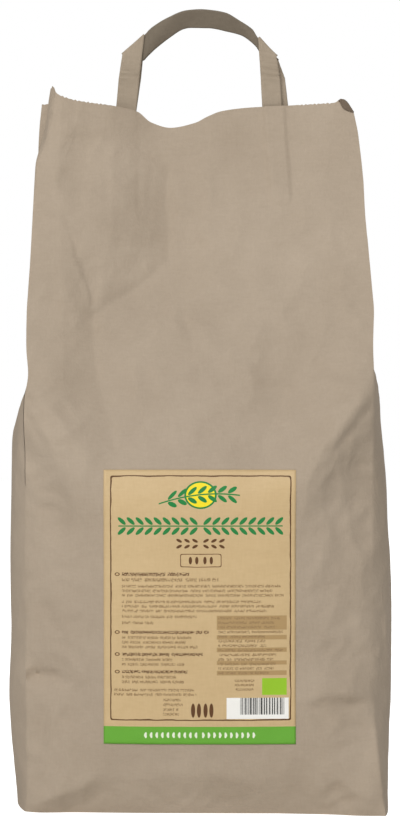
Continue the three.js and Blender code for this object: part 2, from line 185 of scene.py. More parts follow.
# Folds in the paper. Each is a line of [x, height, relief] points, with the widths of its flanks to the left
# and to the right of the way it runs.
FRONT_FOLDS = [
    ([[-19, 430, -2], [-19, 380, -4.5], [-19, 321, -9], [-42, 306, -10], [-64, 293, -8], [-82, 292, -2]],
     60, 62),
    ([[-84, 425, 3], [-84, 360, 2.2], [-82, 304, 0.8], [-80, 284, 0]], 16, 54),
    ([[-52, 400, 0.8], [-52, 345, 1.8], [-58, 320, 2.8], [-66, 296, 2.6], [-72, 280, 0]], 30, 40),
    ([[-66, 300, 0], [-64, 283, -2.2], [-58, 250, -3.5], [-50, 212, -2.5], [-46, 188, 0]], 24, 30),
    ([[70, 300, 0], [68, 282, -0.8], [61, 262, -2.4], [50, 241, -3.6], [38, 217, -2.6], [30, 198, 0]],
     28, 26),
    ([[108, 249, 5], [90, 236, 7.5], [73, 214, 7], [61, 192, 4.5], [57, 164, 0]], 26, 34),
    ([[-106, 256, 3.5], [-93, 243, 6.5], [-80, 227, 6.5], [-67, 209, 4], [-58, 190, 0]], 36, 27),
    ([[-104, 3, 3.5], [-87, 8.6, 6.4], [-66, 19, 5], [-48, 27, 0]], 42, 11),
    ([[109, 69.5, 5.5], [84, 68.5, 5.5], [68, 67.5, 3.5], [54, 67, 0]], 6, 24),
    ([[-110, 80, -7.5], [-92, 79, -7], [-68, 78, 0]], 22, 18),
    ([[112, 7, 1], [92, 14, 3.4], [70, 26, 0]], 9, 22),
    ([[-74, 166, 0], [-88, 150, 2.6], [-106, 128, 3.4]], 20, 30),
    ([[70, 150, 0], [88, 118, 2.4], [106, 104, 3]], 30, 18),
    ([[-66, 24, 0], [-20, 20, 1.6], [40, 22, 1.6], [72, 30, 0]], 24, 12),
]
FRONT_CREASES = [
    ([[-19, 400, 0], [-18.6, 372, -0.7], [-19, 322, -0.6], [-40, 308, -0.2], [-63, 293, -0.8]], 4, 5),
    ([[-62.7, 321, 0], [-65, 302, -1.2], [-69, 282, 0]], 5, 6),
    ([[-16.6, 310.6, 0], [-5.9, 280.5, -2.2], [1.8, 252, 0]], 10, 12),
    ([[2, 296, 0], [22, 276, -0.9], [34, 262, 0]], 10, 8),
    ([[75, 312, 0], [74.6, 284, 1], [66, 262, 0.6], [58, 236, 0]], 5, 9),
    ([[-101, 254, 1.2], [-88.9, 248, 0]], 6, 6),
    ([[101, 269, 1.2], [87.9, 255.6, 0]], 6, 5),
    ([[-104, 236, -2], [-95, 222, -2.2], [-87, 207, 0]], 4, 6),
    ([[-106, 243, -1.6], [-94, 238, -2], [-84, 230, 0]], 5, 6),
    ([[108, 176, -1.4], [97, 171, -1.6], [84, 166, 0]], 7, 4),
    ([[-34, 398, 0], [-31.5, 374, 0.5], [-34, 342, 0]], 6, 5),
    ([[-25, 386, 0], [-26.5, 358, 0.4], [-31, 324, 0]], 4, 6),
    ([[7, 404, 0], [8, 366, 0.8], [3, 322, 0]], 6, 9),
    ([[22, 408, 0], [24, 352, 0.8], [20, 312, 0]], 9, 6),
    ([[108, 245, -3.4], [93, 230.5, -3.4], [81, 214, -2], [73, 200, 0]], 9, 3.4),
    ([[-106, 80.5, -1.6], [-88, 79.4, -1.4], [-72, 78, 0]], 3, 5),
    ([[88.7, 178.2, 0], [95, 186, 1.2], [100.3, 193.3, 0.6]], 7, 5),
    ([[82.9, 98.8, 0], [92, 101, 1], [100.3, 102.8, 0.6]], 6, 8),
    ([[76, 134, 0], [90, 140, 0.9], [104, 139, 0.6]], 6, 6),
    ([[-76, 150, 0], [-88, 158, 0.9], [-104, 160, 0.5]], 6, 6),
    ([[-72, 112, 0], [-88, 106, 0.8], [-104, 108, 0.5]], 7, 5),
    ([[1.7, 30.9, 0], [4.6, 27, 0.7], [8, 22, 0]], 5, 5),
    ([[-40, 30, 0], [-20, 24, 0.8], [6, 26, 0]], 6, 5),
    ([[65.5, 27, 0], [71, 14, 1.2], [77.1, 1, 0.6]], 12, 7),
    ([[88, 7, 0], [97, 4, 1.0], [106, 1.5, 0.5]], 5, 5),
]
BACK_FOLDS = [
    ([[103, 246, 1], [82, 226, 3], [60, 190, 0]], 18, 34),
    ([[-103, 250, 1], [-80, 222, 2.6], [-62, 178, 0]], 34, 18),
    ([[30, 400, 2.5], [26, 330, 3.6], [52, 290, 2], [60, 256, 0]], 40, 22),
    ([[-100, 5, 1.5], [-70, 20, 2], [-45, 26, 0]], 20, 9),
    ([[100, 90, 1.8], [72, 84, 1.2], [58, 88, 0]], 9, 22),
]
BACK_CREASES = [
    ([[-40, 330, 0], [-52, 300, 1.3], [-48, 262, 0]], 9, 14),
    ([[-8, 300, 0], [6, 274, 1.1], [20, 240, 0]], 12, 7),
    ([[-98, 200, 0.8], [-84, 186, 0]], 8, 5),
    ([[70, 60, 0], [88, 52, 0.9], [103, 50, 0.5]], 7, 12),
    ([[-70, 120, 0], [-84, 128, 0.6], [-102, 130, 0.4]], 9, 6),
]
FACTORY_FOLD = [([[-104, 298.6, -0.5], [0, 295.2, -0.4], [104, 293, -0.5]], 2.2, 2.2)]
FLANK_POWER = 1.4
FOLD_FADE_POWER = 20
WAVE_POWER = 1.3

# The waver of the folds and creases, as [size, length, start] waves
WAVER_ACROSS = [(1.2, 19, 1), (0.6, 6.3, 0)]
WAVER_UP = [(1.2, 15, 0), (0.5, 5.1, 2)]

# The crumple of slack paper: how strong it is, and the sizes of its noise along x, y and z, with where it
# starts
SLACK_BLOCK = 2.7
SLACK_WEDGE = 3.0
SLACK_UNDER_LABEL = 0.35
BROAD_MOVE = 0.4
RIDGE_BEND = 5.0
STREAK_MOVE = 0.28
CROSSED_SHARE = (0.5, 1.0)
RIDGE_LEVEL = (0.55, 0.65)
BROAD_NOISE = ((46, 46, 60), (0, 0, 0))
BEND_NOISE = ((21, 21, 21), (0, 0, 7))
RIDGE_NOISE = ((26, 26, 38), (9, 0, 0))
CROSSED_NOISE = ((16, 16, 11), (-4, 0, 3))
STREAK_NOISE = ((4.2, 9, 55), (0, 0, 0))

# Where the crumple changes: up the bag, past the label's edge, in the streaks below the mouth, beside the
# creases of the block, away from the middle of the gussets, and off the floor
SLACK_RISE = (200, 260)
LABEL_EASE = (0, 12)
STREAK_RISE = (320, 390)
CREASED_ACROSS = (62, 86)
CREASED_BELOW = (262, 242)
OUTWARD_REACH = 14.0
FLOOR_EASE = (0, 8)


def mix(a, b, t):
    return a + (b - a) * t


def ramp(value, start, end):
    return min(1.0, max(0.0, (value - start) / (end - start)))


def smooth_step(start, end, value):
    t = np.clip((np.asarray(value, float) - start) / (end - start), 0, 1)
    return t * t * (3 - 2 * t)


def smooth_min(a, b, blend):
    h = np.clip(0.5 + 0.5 * (b - a) / blend, 0, 1)
    return mix(b, a, h) - blend * h * (1 - h)


def straight(stations, at):
    """A polyline through [place, value] stations."""
    places, values = np.array(stations, float).T
    return np.interp(at, places, values)


def profile(stations, at):
    """A curve through [place, value] stations that never overshoots them."""
    places, values = np.array(stations, float).T
    rises = np.diff(values) / np.diff(places)
    before, after = rises[:-1], rises[1:]
    level = before * after <= 0
    inner = np.where(level, 0, 2 * before * after / np.where(level, 1, before + after))
    tangents = np.concatenate([rises[:1], inner, rises[-1:]])
    at = np.clip(at, places[0], places[-1])
    k = np.clip(np.searchsorted(places, at) - 1, 0, len(places) - 2)
    span = places[k + 1] - places[k]
    t = (at - places[k]) / span
    return (
        values[k] * (1 + 2 * t) * (1 - t) ** 2
        + tangents[k] * span * t * (1 - t) ** 2
        + values[k + 1] * t * t * (3 - 2 * t)
        + tangents[k + 1] * span * t * t * (t - 1)
    )


def fold_relief(folds, x, z):
    """How far the paper stands out at each point because of its folds."""
    total = np.zeros(np.broadcast(x, z).shape)
    for line, left, right in folds:
        nearest = np.full(total.shape, 1e9)
        relief = np.zeros(total.shape)
        width = np.ones(total.shape)
        for (ax, az, low), (bx, bz, high) in zip(line, line[1:]):
            dx, dz = bx - ax, bz - az
            t = np.clip(((x - ax) * dx + (z - az) * dz) / (dx * dx + dz * dz), 0, 1)
            px, pz = x - ax - t * dx, z - az - t * dz
            distance = np.hypot(px, pz)
            closer = distance < nearest
            nearest = np.where(closer, distance, nearest)
            relief = np.where(closer, mix(low, high, t), relief)
            width = np.where(closer, np.where(dx * pz - dz * px > 0, left, right), width)
        total += relief * np.clip(1 - nearest / width, 0, 1) ** FLANK_POWER
    return total


def waver(waves, at):
    return sum(size * np.sin(at / length + start) for size, length, start in waves)


def half_depth(across, height):
    """Half the bag's depth: the lesser of the bulging block and the flat wedge that closes over it."""
    bulge = profile(FRONT_BULGE, height) * (1 - np.abs(across) ** BULGE_POWER)
    from_crease = np.minimum((1 - np.abs(across)) * profile(HALF_WIDTH, height), CORNER_REACH)
    block = profile(CREASE_DEPTH, height - SHOULDER_TILT * across + CORNER_RISE * from_crease) + bulge
    splay = MOUTH_SPLAY * across ** 2
    wedge = SHUT_HALF_DEPTH + splay + np.maximum(0, MOUTH - height) * WEDGE_SLOPE
    return smooth_min(block, wedge, SHOULDER_BLEND)


def to_edge(height, edge):
    """Heights above EDGE_START stretched, so that TOP lands on the edge."""
    part = (height - EDGE_START) / (TOP - EDGE_START)
    return np.where(height <= EDGE_START, height, mix(EDGE_START, edge, part))


def edge_height(side, x):
    return profile(FRONT_TOP_EDGE if side < 0 else BACK_TOP_EDGE, x)


def strap_patches(patches, x, height):
    """How far the paper stands out over the glued ends of the handles."""
    total = 0
    for left, right, low, lean, relief in patches:
        at = x + lean * (height - PATCH_MIDDLE) / PATCH_RISE
        sides = smooth_step(left - PATCH_SIDE, left + PATCH_SIDE, at)
        sides = sides * smooth_step(right + PATCH_SIDE, right - PATCH_SIDE, at)
        total = total + relief * sides * smooth_step(low - PATCH_FOOT, low + PATCH_FOOT, height)
    return total


def panel_depth(side, x, height):
    """The depth of the front (side -1) or back (side 1) panel."""
    across = np.clip((x - profile(LEAN, height)) / profile(HALF_WIDTH, height), -1, 1)
    towards_mouth = np.clip((height - WAVE_START) / (TOP - WAVE_START), 0, 1)
    wave = profile(MOUTH_WAVE, across) * towards_mouth ** WAVE_POWER
    fade = 1 - np.abs(across) ** FOLD_FADE_POWER
    folds = FRONT_FOLDS if side < 0 else BACK_FOLDS
    creases = FRONT_CREASES if side < 0 else BACK_CREASES
    bent_x = x + waver(WAVER_ACROSS, height)
    bent_height = height + waver(WAVER_UP, x)
    relief = fold_relief(folds, bent_x, bent_height) + fold_relief(creases, bent_x, bent_height)
    relief = np.maximum(relief, LEAST_HALF_DEPTH - half_depth(across, height))
    relief = relief + fold_relief(FACTORY_FOLD, x, height)
    if side < 0:
        relief = relief + strap_patches(FRONT_PATCHES, x, height)
        curl = CURL_BACK * smooth_step(CURL_START, TOP, height) * smooth_step(*CURL_ACROSS, across)
        turned = CORNER_TURN * np.maximum(0, straight(CORNER_FOLD, height) - x)
        forward = straight(FOOT_FORWARD, across) * (1 - smooth_step(0, FOOT_RISE, height))
        moved = wave + curl + turned - forward
    else:
        seam = SEAM_STEP * smooth_step(SEAM_START, SEAM_END, x)
        relief = relief + strap_patches(BACK_PATCHES, x, height) + seam
        moved = wave
    return side * (half_depth(across, height) + relief * fade) + moved


def panel_height(across, row):
    return row + straight(ROW_TILT, row) * mix(LEFT_SHOULDER_RISE, RIGHT_SHOULDER_RISE, (across + 1) / 2)


def panel(side, across, height):
    """The front (side -1) or back (side 1) panel, across from the left crease (-1) to the right one (1)."""
    middle, half_width = profile(LEAN, height), profile(HALF_WIDTH, height)
    curled = CURL_INWARD * smooth_step(CURL_START, TOP, height) if side < 0 else 0
    x = mix(middle - half_width + curled, middle + half_width, (across + 1) / 2)
    return x, panel_depth(side, x, height), to_edge(height, edge_height(side, x))


def gusset(side, across, row):
    """The left (side -1) or right (side 1) gusset, across from the front crease (-1) to the back one (1)."""
    if side < 0:
        bulge, power, rise, fold_start = LEFT_BULGE, LEFT_BULGE_POWER, LEFT_SHOULDER_RISE, LEFT_FOLD_START
    else:
        bulge, power, rise, fold_start = RIGHT_BULGE, RIGHT_BULGE_POWER, RIGHT_SHOULDER_RISE, RIGHT_FOLD_START
    out = np.abs(across)
    shoulder = SHOULDER + rise
    height = mix(straight(POCKET_ROWS, row), panel_height(side, row), out)
    front, back = panel(-1, float(side), height), panel(1, float(side), height)
    depth = np.minimum((back[1] - front[1]) / 2, GUSSET / 2)
    bulged = profile(bulge, height) * (1 - out ** power)
    pocket = POCKET_SLOPE * (mix(FILL_TOP, shoulder, out) - height)
    folded = np.sqrt((GUSSET / 2) ** 2 - depth ** 2) * (1 - out)
    folded = folded * smooth_step(fold_start, fold_start + FOLD_START_SPAN, height)
    offset = -smooth_min(folded, -smooth_min(bulged, pocket, 2), 1)
    t = (across + 1) / 2
    x = mix(front[0], back[0], t) + side * np.where(height < BULGE_ALONE, bulged, offset)
    y = mix(panel_depth(-1, x, height), panel_depth(1, x, height), t)
    return x, y, to_edge(height, mix(edge_height(-1, x), edge_height(1, x), t))


def in_noise(pattern, *spot):
    """Where a spot lies in a noise that is stretched along each axis."""
    sizes, starts = pattern
    return Vector([at / size + start for at, size, start in zip(spot, sizes, starts)])


def crumple(points):
    """Moves points a little, as the slack paper between the main folds does: in long ridges, with cross
    wrinkles that grow beside the creases of the block, and with upright streaks towards the mouth."""
    moved = points.copy()
    for i, (x, y, z) in enumerate(points):
        slack = mix(SLACK_BLOCK, SLACK_WEDGE, ramp(z, *SLACK_RISE))
        beside_label = max(abs(x - LABEL_X) - LABEL_WIDTH / 2, z - LABEL_HIGH, LABEL_LOW - z)
        if y < 0:
            slack *= mix(SLACK_UNDER_LABEL, 1.0, ramp(beside_label, *LABEL_EASE))
        broad = BROAD_MOVE * noise.noise_vector(in_noise(BROAD_NOISE, x, y, z))
        bent = RIDGE_BEND * noise.noise(in_noise(BEND_NOISE, x, y, z))
        ridge = 0.5 - abs(noise.noise(in_noise(RIDGE_NOISE, x + bent, y, z)))
        crossed = 0.5 - abs(noise.noise(in_noise(CROSSED_NOISE, x, y, z + bent)))
        streak = ramp(z, *STREAK_RISE) * noise.noise(in_noise(STREAK_NOISE, x, y, z))
        creased = ramp(abs(x), *CREASED_ACROSS) * ramp(z, *CREASED_BELOW)
        ridges = ridge + mix(*CROSSED_SHARE, creased) * crossed - mix(*RIDGE_LEVEL, creased)
        push = slack * ridges + STREAK_MOVE * streak
        outwards = min(1.0, max(-1.0, y / OUTWARD_REACH))
        free = ramp(z, *FLOOR_EASE)
        moved[i, 0] = x + free * slack * broad.x
        moved[i, 1] = y + free * (slack * broad.y + push * outwards)
    return moved


# Pieces and grids
def add_piece(name, bm, replaces=(), material=None):
    mesh = bpy.data.meshes.new(name)
    bm.to_mesh(mesh)
    bm.free()
    piece = bpy.data.objects.new(name, mesh)
    bpy.context.scene.collection.objects.link(piece)
    mesh.shade_smooth()
    mesh.set_sharp_from_angle(angle=SHARP_FOLD)
    if material:
        mesh.materials.append(material)
    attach(piece, "root")
    if replaces:
        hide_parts(*replaces)
    return piece


def shaped_grid(columns, rows, shape, painted=None):
    """A grid of faces whose points are placed by shape(u, v), with u and v from 0 to 1. Where painted(u, v)
    is true, faces take the second material."""
    bm = bmesh.new()
    bmesh.ops.create_grid(bm, x_segments=columns, y_segments=rows, size=0.5)
    if painted:
        for face in bm.faces:
            u, v, _ = face.calc_center_median()
            face.material_index = int(painted(u + 0.5, v + 0.5))
    flat = np.array([v.co[:2] for v in bm.verts]) + 0.5
    placed = shape(flat[:, 0], flat[:, 1])
    for vert, point in zip(bm.verts, placed):
        vert.co = point * MM
    return bm


# The bag, as one grid: columns run round it, and rows run from the middle of the base up the walls, over the
# rim and down the inside to EDGE_START
FRONT_COLUMNS = 168
GUSSET_COLUMNS = 72
BACK_COLUMNS = 112
AROUND = FRONT_COLUMNS + BACK_COLUMNS + 2 * GUSSET_COLUMNS
BASE_ROWS = 8
INNER_ROWS = 6
BASE_KEEL = (-52, 56)
BASE_HOLLOW = 0.4
CREASE_EASE = 54.0
CREASE_SHARE = 0.4
WALL_STRETCHES = [
    [0, 12, 8], [12, POCKET_START, 75], [POCKET_START, SHOULDER, 25], [SHOULDER, SHOULDER + POCKET_RIM, 5],
    [SHOULDER + POCKET_RIM, POCKET_END, 19], [POCKET_END, EDGE_START, 35], [EDGE_START, TOP, 20],
]
WALL_ROWS = [
    row for start, end, count in WALL_STRETCHES for row in np.linspace(start, end, count, endpoint=False)
] + [TOP]
INNER_HEIGHTS = list(np.linspace(TOP, EDGE_START, INNER_ROWS + 1))
ALL_ROWS = [0.0] * BASE_ROWS + WALL_ROWS + INNER_HEIGHTS


def ring_points(column, row):
    """The points of the paper at places round the bag, from the front left crease counter-clockwise."""
    points = np.zeros((len(column), 3))
    ends = np.cumsum([FRONT_COLUMNS, GUSSET_COLUMNS, BACK_COLUMNS, GUSSET_COLUMNS])
    sides = [
        (column <= ends[0], lambda c, r: panel(-1, 2 * c / FRONT_COLUMNS - 1,
                                               panel_height(2 * c / FRONT_COLUMNS - 1, r))),
        ((column > ends[0]) & (column <= ends[1]),
         lambda c, r: gusset(1, 2 * (c - ends[0]) / GUSSET_COLUMNS - 1, r)),
        ((column > ends[1]) & (column <= ends[2]),
         lambda c, r: panel(1, 1 - 2 * (c - ends[1]) / BACK_COLUMNS,
                            panel_height(1 - 2 * (c - ends[1]) / BACK_COLUMNS, r))),
        (column > ends[2], lambda c, r: gusset(-1, 1 - 2 * (c - ends[2]) / GUSSET_COLUMNS, r)),
    ]
    for chosen, place in sides:
        points[chosen] = np.stack(place(column[chosen], row[chosen]), axis=1)
    return points


def inward_offset(column, row):
    """The way from the outside of the paper to its inside, kept short where two layers meet at a crease."""
    before, after = ring_points((column - 0.5) % AROUND, row), ring_points((column + 0.5) % AROUND, row)
    along = after[:, :2] - before[:, :2]
    along /= np.maximum(np.linalg.norm(along, axis=1, keepdims=True), 1e-6)
    x = ring_points(column, row)[:, 0]
    half_width = profile(HALF_WIDTH, row)
    from_crease = half_width - np.abs(x - profile(LEAN, row))
    across = np.clip((x - profile(LEAN, row)) / half_width, -1, 1)
    wedge = np.clip(from_crease / CREASE_EASE, 0, 1) * half_depth(across, row)
    size = np.minimum(PAPER, CREASE_SHARE * np.maximum(wedge, 0))
    return np.stack([-along[:, 1] * size, along[:, 0] * size, np.zeros(len(row))], axis=1)


def cut_teeth(points, at_rim):
    x = points[:, 0]
    toothed = at_rim & (np.abs(x - TOOTHLESS_X) > TOOTHLESS_REACH) & (x < TEETH_END)
    tooth = np.abs((x[toothed] / TOOTH_PITCH) % 1 - 0.5) * 2
    points[toothed, 2] += TOOTH_HEIGHT * (tooth - 0.5)


def close_base(points, index):
    """Draws the base's rows in to a line along its middle, with a slight hollow."""
    base = index < BASE_ROWS
    inset = 1 - index[base] / BASE_ROWS
    keel = np.stack([np.clip(points[base, 0], *BASE_KEEL), np.zeros(inset.size)], axis=1)
    points[base, :2] = mix(points[base, :2], keel, inset[:, None])
    points[base, 2] = BASE_HOLLOW * smooth_step(0, 0.2, inset)


def bag_shape(u, v):
    column = np.round(u * AROUND)
    index = np.round(v * (len(ALL_ROWS) - 1)).astype(int)
    row = np.array(ALL_ROWS)[index]
    points = ring_points(column, row)
    first_inner = BASE_ROWS + len(WALL_ROWS)
    inner = index >= first_inner
    cut_teeth(points, (index == first_inner - 1) | (index == first_inner))
    points[inner] += inward_offset(column[inner], row[inner])
    points = crumple(points)
    close_base(points, index)
    return points


def make_bag(material):
    bm = shaped_grid(AROUND, len(ALL_ROWS) - 1, bag_shape)
    bmesh.ops.remove_doubles(bm, verts=bm.verts, dist=0.00002)
    open_end = [edge for edge in bm.edges if edge.is_boundary]
    bmesh.ops.edgeloop_fill(bm, edges=open_end)
    bmesh.ops.recalc_face_normals(bm, faces=bm.faces)
    return add_piece("Bag_paper", bm, ["paper_bag"], material)


# The tip of the right corner, folded forwards over the rim. Each line is [x, height].
TIP_RIM = [[84.2, 423.2], [85.5, 424.1], [87.4, 423.8], [93.5, 416.3]]
TIP_END = [[85, 422.4], [86, 420.2], [88, 417.9], [93.3, 415.8]]
TIP_STANDOFF = 2.5
TIP_CLEARANCE = 0.25
TIP_BEND = [[0, 0], [0.25, 1], [1, 0.12]]
TIP_COLUMNS = 24
TIP_ROWS = 16


def corner_tip_shape(u, v):
    """From the rim (v 0) over the fold's edge down to its end on the panel (v 1)."""
    rim, end = curve_through(TIP_RIM, u), curve_through(TIP_END, u)
    spots = mix(rim, end, np.maximum(0, v - 0.1)[:, None] / 0.9)
    on_panel = under_paper(-1, spots) - PAPER_OVER_STRAP - TIP_CLEARANCE
    proud = TIP_STANDOFF * np.sin(np.pi * np.clip(u, 0, 1)) ** 0.7 * straight(TIP_BEND, v)
    return np.stack([spots[:, 0], on_panel - proud, spots[:, 1]], axis=1)


def make_corner_tip(material):
    bm = shaped_grid(TIP_COLUMNS, TIP_ROWS, corner_tip_shape)
    tip = add_piece("Bag_corner_tip", bm, [], material)
    thickness = tip.modifiers.new("Paper thickness", "SOLIDIFY")
    thickness.thickness = PAPER * MM
    thickness.offset = 0.0
    return tip


# The label
LABEL_COLUMNS = 72
LABEL_ROWS = 100


def label_shape(u, v):
    x = LABEL_X + LABEL_WIDTH * (u - 0.5)
    height = mix(LABEL_LOW, LABEL_HIGH, v)
    points = np.stack([x, panel_depth(-1, x, height), height], axis=1)
    points = crumple(points)
    points[:, 0] = x
    points[:, 1] -= LABEL_LIFT
    return points


def make_label(material):
    bm = shaped_grid(LABEL_COLUMNS, LABEL_ROWS, label_shape)
    label = add_piece("Label_sheet", bm, ["label"], material)
    thickness = label.modifiers.new("Paper thickness", "SOLIDIFY")
    thickness.thickness = LABEL_THICK * MM
    thickness.offset = 1.0
    return label


# The handles. Each edge of a leg is [x, height] at the foot, at the knee and at the slanted fold, first the
# edge away from the middle of the bag and then the one towards it. The arch's numbers widen it and lift it.
HANDLES = {
    "handle_front": {
        "side": -1,
        "left": [[[-53.9, STRAP_FOOT], [-49.6, 436.5], [-47.2, 451.3]],
                 [[-41.9, STRAP_FOOT], [-36.9, 437], [-33.7, 463.1]]],
        "right": [[[52.2, STRAP_FOOT], [48.9, 436], [46.5, 450.1]],
                  [[39.6, STRAP_FOOT], [37, 437], [35.3, 461.3]]],
        "arch": (1.0, 0.0),
    },
    "handle_back": {
        "side": 1,
        "left": [[[-55.5, STRAP_FOOT], [-48.9, 437], [-46.4, 449.5]],
                 [[-43.0, STRAP_FOOT], [-36.1, 437], [-33.8, 462.6]]],
        "right": [[[57.6, STRAP_FOOT], [51.9, 438], [47.9, 449.2]],
                  [[45.0, STRAP_FOOT], [39.3, 437], [36.0, 461.3]]],
        "arch": (1.003, 0.6),
    },
}
ARCH_INNER_EDGE = [
    [-40, 447.4], [-34.7, 448.1], [-32.2, 450.6], [-25.6, 456.7], [-18, 462.6], [-10.3, 467.3],
    [-6.1, 468.1], [4.9, 468.1], [16, 466], [24.9, 463.7], [34.1, 457], [40, 449.4],
]
ARCH_OUTER_EDGE = [
    [-31.1, 466.3], [-27.4, 469.2], [-18.3, 474.2], [-7.9, 477.9], [0, 478.5], [9.1, 477.7], [15.8, 476.3],
    [20.7, 473.8], [23.7, 472.1], [26.8, 470.3], [29.6, 468.5], [32.2, 466.5],
]
ARCH_TILT = 2.6

# Between these heights, a leg leaves the panel and then bends out to its fold
LEG_LEAVES_PANEL = (402, 420)
LEG_BENDS_OUT = (430, 450)

# The straps' cross wrinkles, and the broad bends of their arches
WRINKLE_PITCH = 3.4
WRINKLE_TILT = 0.12
WRINKLE_RELIEF = 1.5
WRINKLE_LEAST = 0.25
WRINKLE_SINK = 0.18
WRINKLE_TOP = 456.0
BEND_SIZE = 13.0
BEND_RELIEF = 0.55
SMOOTH_FOOT = (420, 428)

LEG_STEPS = 64
FOLD_STEPS = 8
ARCH_STEPS = 90
STRAP_COLUMNS = 12


def curve_through(points, t):
    """Points on a smooth curve through [x, height] points, with t from 0 to 1 along its length."""
    points = np.array(points, float)
    length = np.concatenate([[0], np.cumsum(np.linalg.norm(np.diff(points, axis=0), axis=1))])
    at = t * length[-1]
    return np.stack([profile(np.stack([length, points[:, n]], 1), at) for n in (0, 1)], axis=1)


def under_paper(side, spots):
    """The depth just inside a panel's paper at [x, z] spots."""
    x = spots[:, 0]
    stretch = (TOP - EDGE_START) / (edge_height(side, x) - EDGE_START)
    height = EDGE_START + (spots[:, 1] - EDGE_START) * stretch
    height = np.minimum(height, TOP)
    paper = np.stack([x, panel_depth(side, x, height), spots[:, 1]], axis=1)
    return crumple(paper)[:, 1] - side * PAPER_OVER_STRAP


def leg_sections(side, leg):
    t = np.linspace(0, 2, LEG_STEPS + 1)
    edges = []
    for foot, knee, fold in leg:
        spots = np.stack([np.interp(t, [0, 1, 2], [foot[n], knee[n], fold[n]]) for n in (0, 1)], axis=1)
        free = smooth_step(*LEG_LEAVES_PANEL, spots[:, 1])
        depth = mix(under_paper(side, spots), side * KNEE_STANDOFF, free)
        depth = mix(depth, side * FOLD_STANDOFF, smooth_step(*LEG_BENDS_OUT, spots[:, 1]))
        edges.append(np.stack([spots[:, 0], depth, spots[:, 1]], axis=1))
    facing = np.tile([0.0, side, 0.0], (len(t), 1))
    return edges[0], edges[1], facing


def fold_sections(side, leg):
    """The strap turning over round its slanted fold."""
    a, b = leg[0][-1], leg[1][-1]
    length = np.hypot(b[0] - a[0], b[2] - a[2])
    outwards = np.array([-abs(b[2] - a[2]) * np.sign(b[0] - a[0]), 0, abs(b[0] - a[0])]) / length
    turn = np.pi * np.arange(1, FOLD_STEPS + 1) / FOLD_STEPS
    facing = outwards * np.sin(turn)[:, None] + np.array([0, side, 0]) * np.cos(turn)[:, None]
    moved = (facing - np.array([0, side, 0])) * (STRAP_THICK + STRAP_FOLD_GAP) / 2
    return a + moved, b + moved, facing


def arch_sections(side, handle):
    t = np.arange(1, ARCH_STEPS) / ARCH_STEPS
    widen, lift = handle["arch"]
    ends = [[handle[leg][edge][-1] for leg in ("left", "right")] for edge in (0, 1)]
    edges = []
    for (start, stop), middle in zip(ends, (ARCH_INNER_EDGE, ARCH_OUTER_EDGE)):
        raised = [[x * widen, z + lift] for x, z in middle]
        edges.append(curve_through([start, *raised, stop], t))
    inner, outer = edges
    behind = side * (FOLD_STANDOFF - STRAP_THICK - STRAP_FOLD_GAP)
    tilt = side * ARCH_TILT * smooth_step(0.06, 0.3, t) * smooth_step(0.94, 0.7, t)
    a = np.stack([inner[:, 0], behind - tilt, inner[:, 1]], axis=1)
    b = np.stack([outer[:, 0], behind + tilt, outer[:, 1]], axis=1)
    across = b - a
    along = np.stack([across[:, 2], np.zeros(len(t)), -across[:, 0]], axis=1)
    facing = -side * np.cross(across, along)
    return a, b, facing / np.linalg.norm(facing, axis=1, keepdims=True)


def strap_sections(handle):
    side = handle["side"]
    left, right = leg_sections(side, handle["left"]), leg_sections(side, handle["right"])
    turned_left, turned_right = fold_sections(side, left), fold_sections(side, right)
    parts = [left, turned_left, arch_sections(side, handle)]
    parts += [tuple(p[::-1] for p in part) for part in (turned_right, right)]
    return [np.concatenate([part[n] for part in parts]) for n in range(3)]


def strap_wrinkles(points, side):
    """How far a strap's paper stands off its flat form: cross wrinkles in the legs, and broad bends."""
    out = np.zeros(len(points))
    for i, (x, y, z) in enumerate(points):
        tilted = z + WRINKLE_TILT * x
        lines = 0.5 - abs(noise.noise(Vector((x / 40 + side * 7, side, tilted / WRINKLE_PITCH))))
        broad = noise.noise(Vector((x / BEND_SIZE, side * 3, z / BEND_SIZE)))
        wrinkle = WRINKLE_RELIEF * max(0.0, lines - WRINKLE_LEAST) - WRINKLE_SINK
        out[i] = ramp(z, WRINKLE_TOP, WRINKLE_TOP - 8) * wrinkle + BEND_RELIEF * broad
    return out * smooth_step(*SMOOTH_FOOT, points[:, 2])


def make_handle(name, materials):
    handle = HANDLES[name]
    side = handle["side"]
    a, b, facing = strap_sections(handle)
    arch_start, arch_end = LEG_STEPS + FOLD_STEPS // 2, len(a) - 1 - LEG_STEPS - FOLD_STEPS // 2

    def shape(u, v):
        k = np.round(v * (len(a) - 1)).astype(int)
        points = mix(a[k], b[k], u[:, None])
        return points + facing[k] * strap_wrinkles(points, side)[:, None]

    def turned_over(u, v):
        row = v * (len(a) - 1)
        return (row > arch_start) & (row < arch_end)

    # The arch's rows take the second material on both faces: the strap's reverse-side tone, darkened further
    # as painted shade
    bm = shaped_grid(STRAP_COLUMNS, len(a) - 1, shape, turned_over)
    strap = add_piece(name.capitalize() + "_strap", bm, [name], materials[0])
    strap.data.materials.append(materials[1])
    thickness = strap.modifiers.new("Folded paper", "SOLIDIFY")
    thickness.thickness = STRAP_SHEET * MM
    thickness.offset = 0.0
    return strap


# Materials
def node(tree, kind, inputs=None, **settings):
    made = tree.nodes.new(kind)
    for key, value in settings.items():
        setattr(made, key, value)
    for key, value in (inputs or {}).items():
        if isinstance(value, bpy.types.NodeSocket):
            tree.links.new(value, made.inputs[key])
        else:
            made.inputs[key].default_value = value
    return made


def maths(tree, operation, *values, clamp=False):
    made = node(tree, "ShaderNodeMath", dict(enumerate(values)), operation=operation, use_clamp=clamp)
    return made.outputs[0]


def together(tree, masks):
    """One mask that covers what any of the masks covers."""
    joined = masks[0]
    for mask in masks[1:]:
        joined = maths(tree, "MAXIMUM", joined, mask)
    return joined


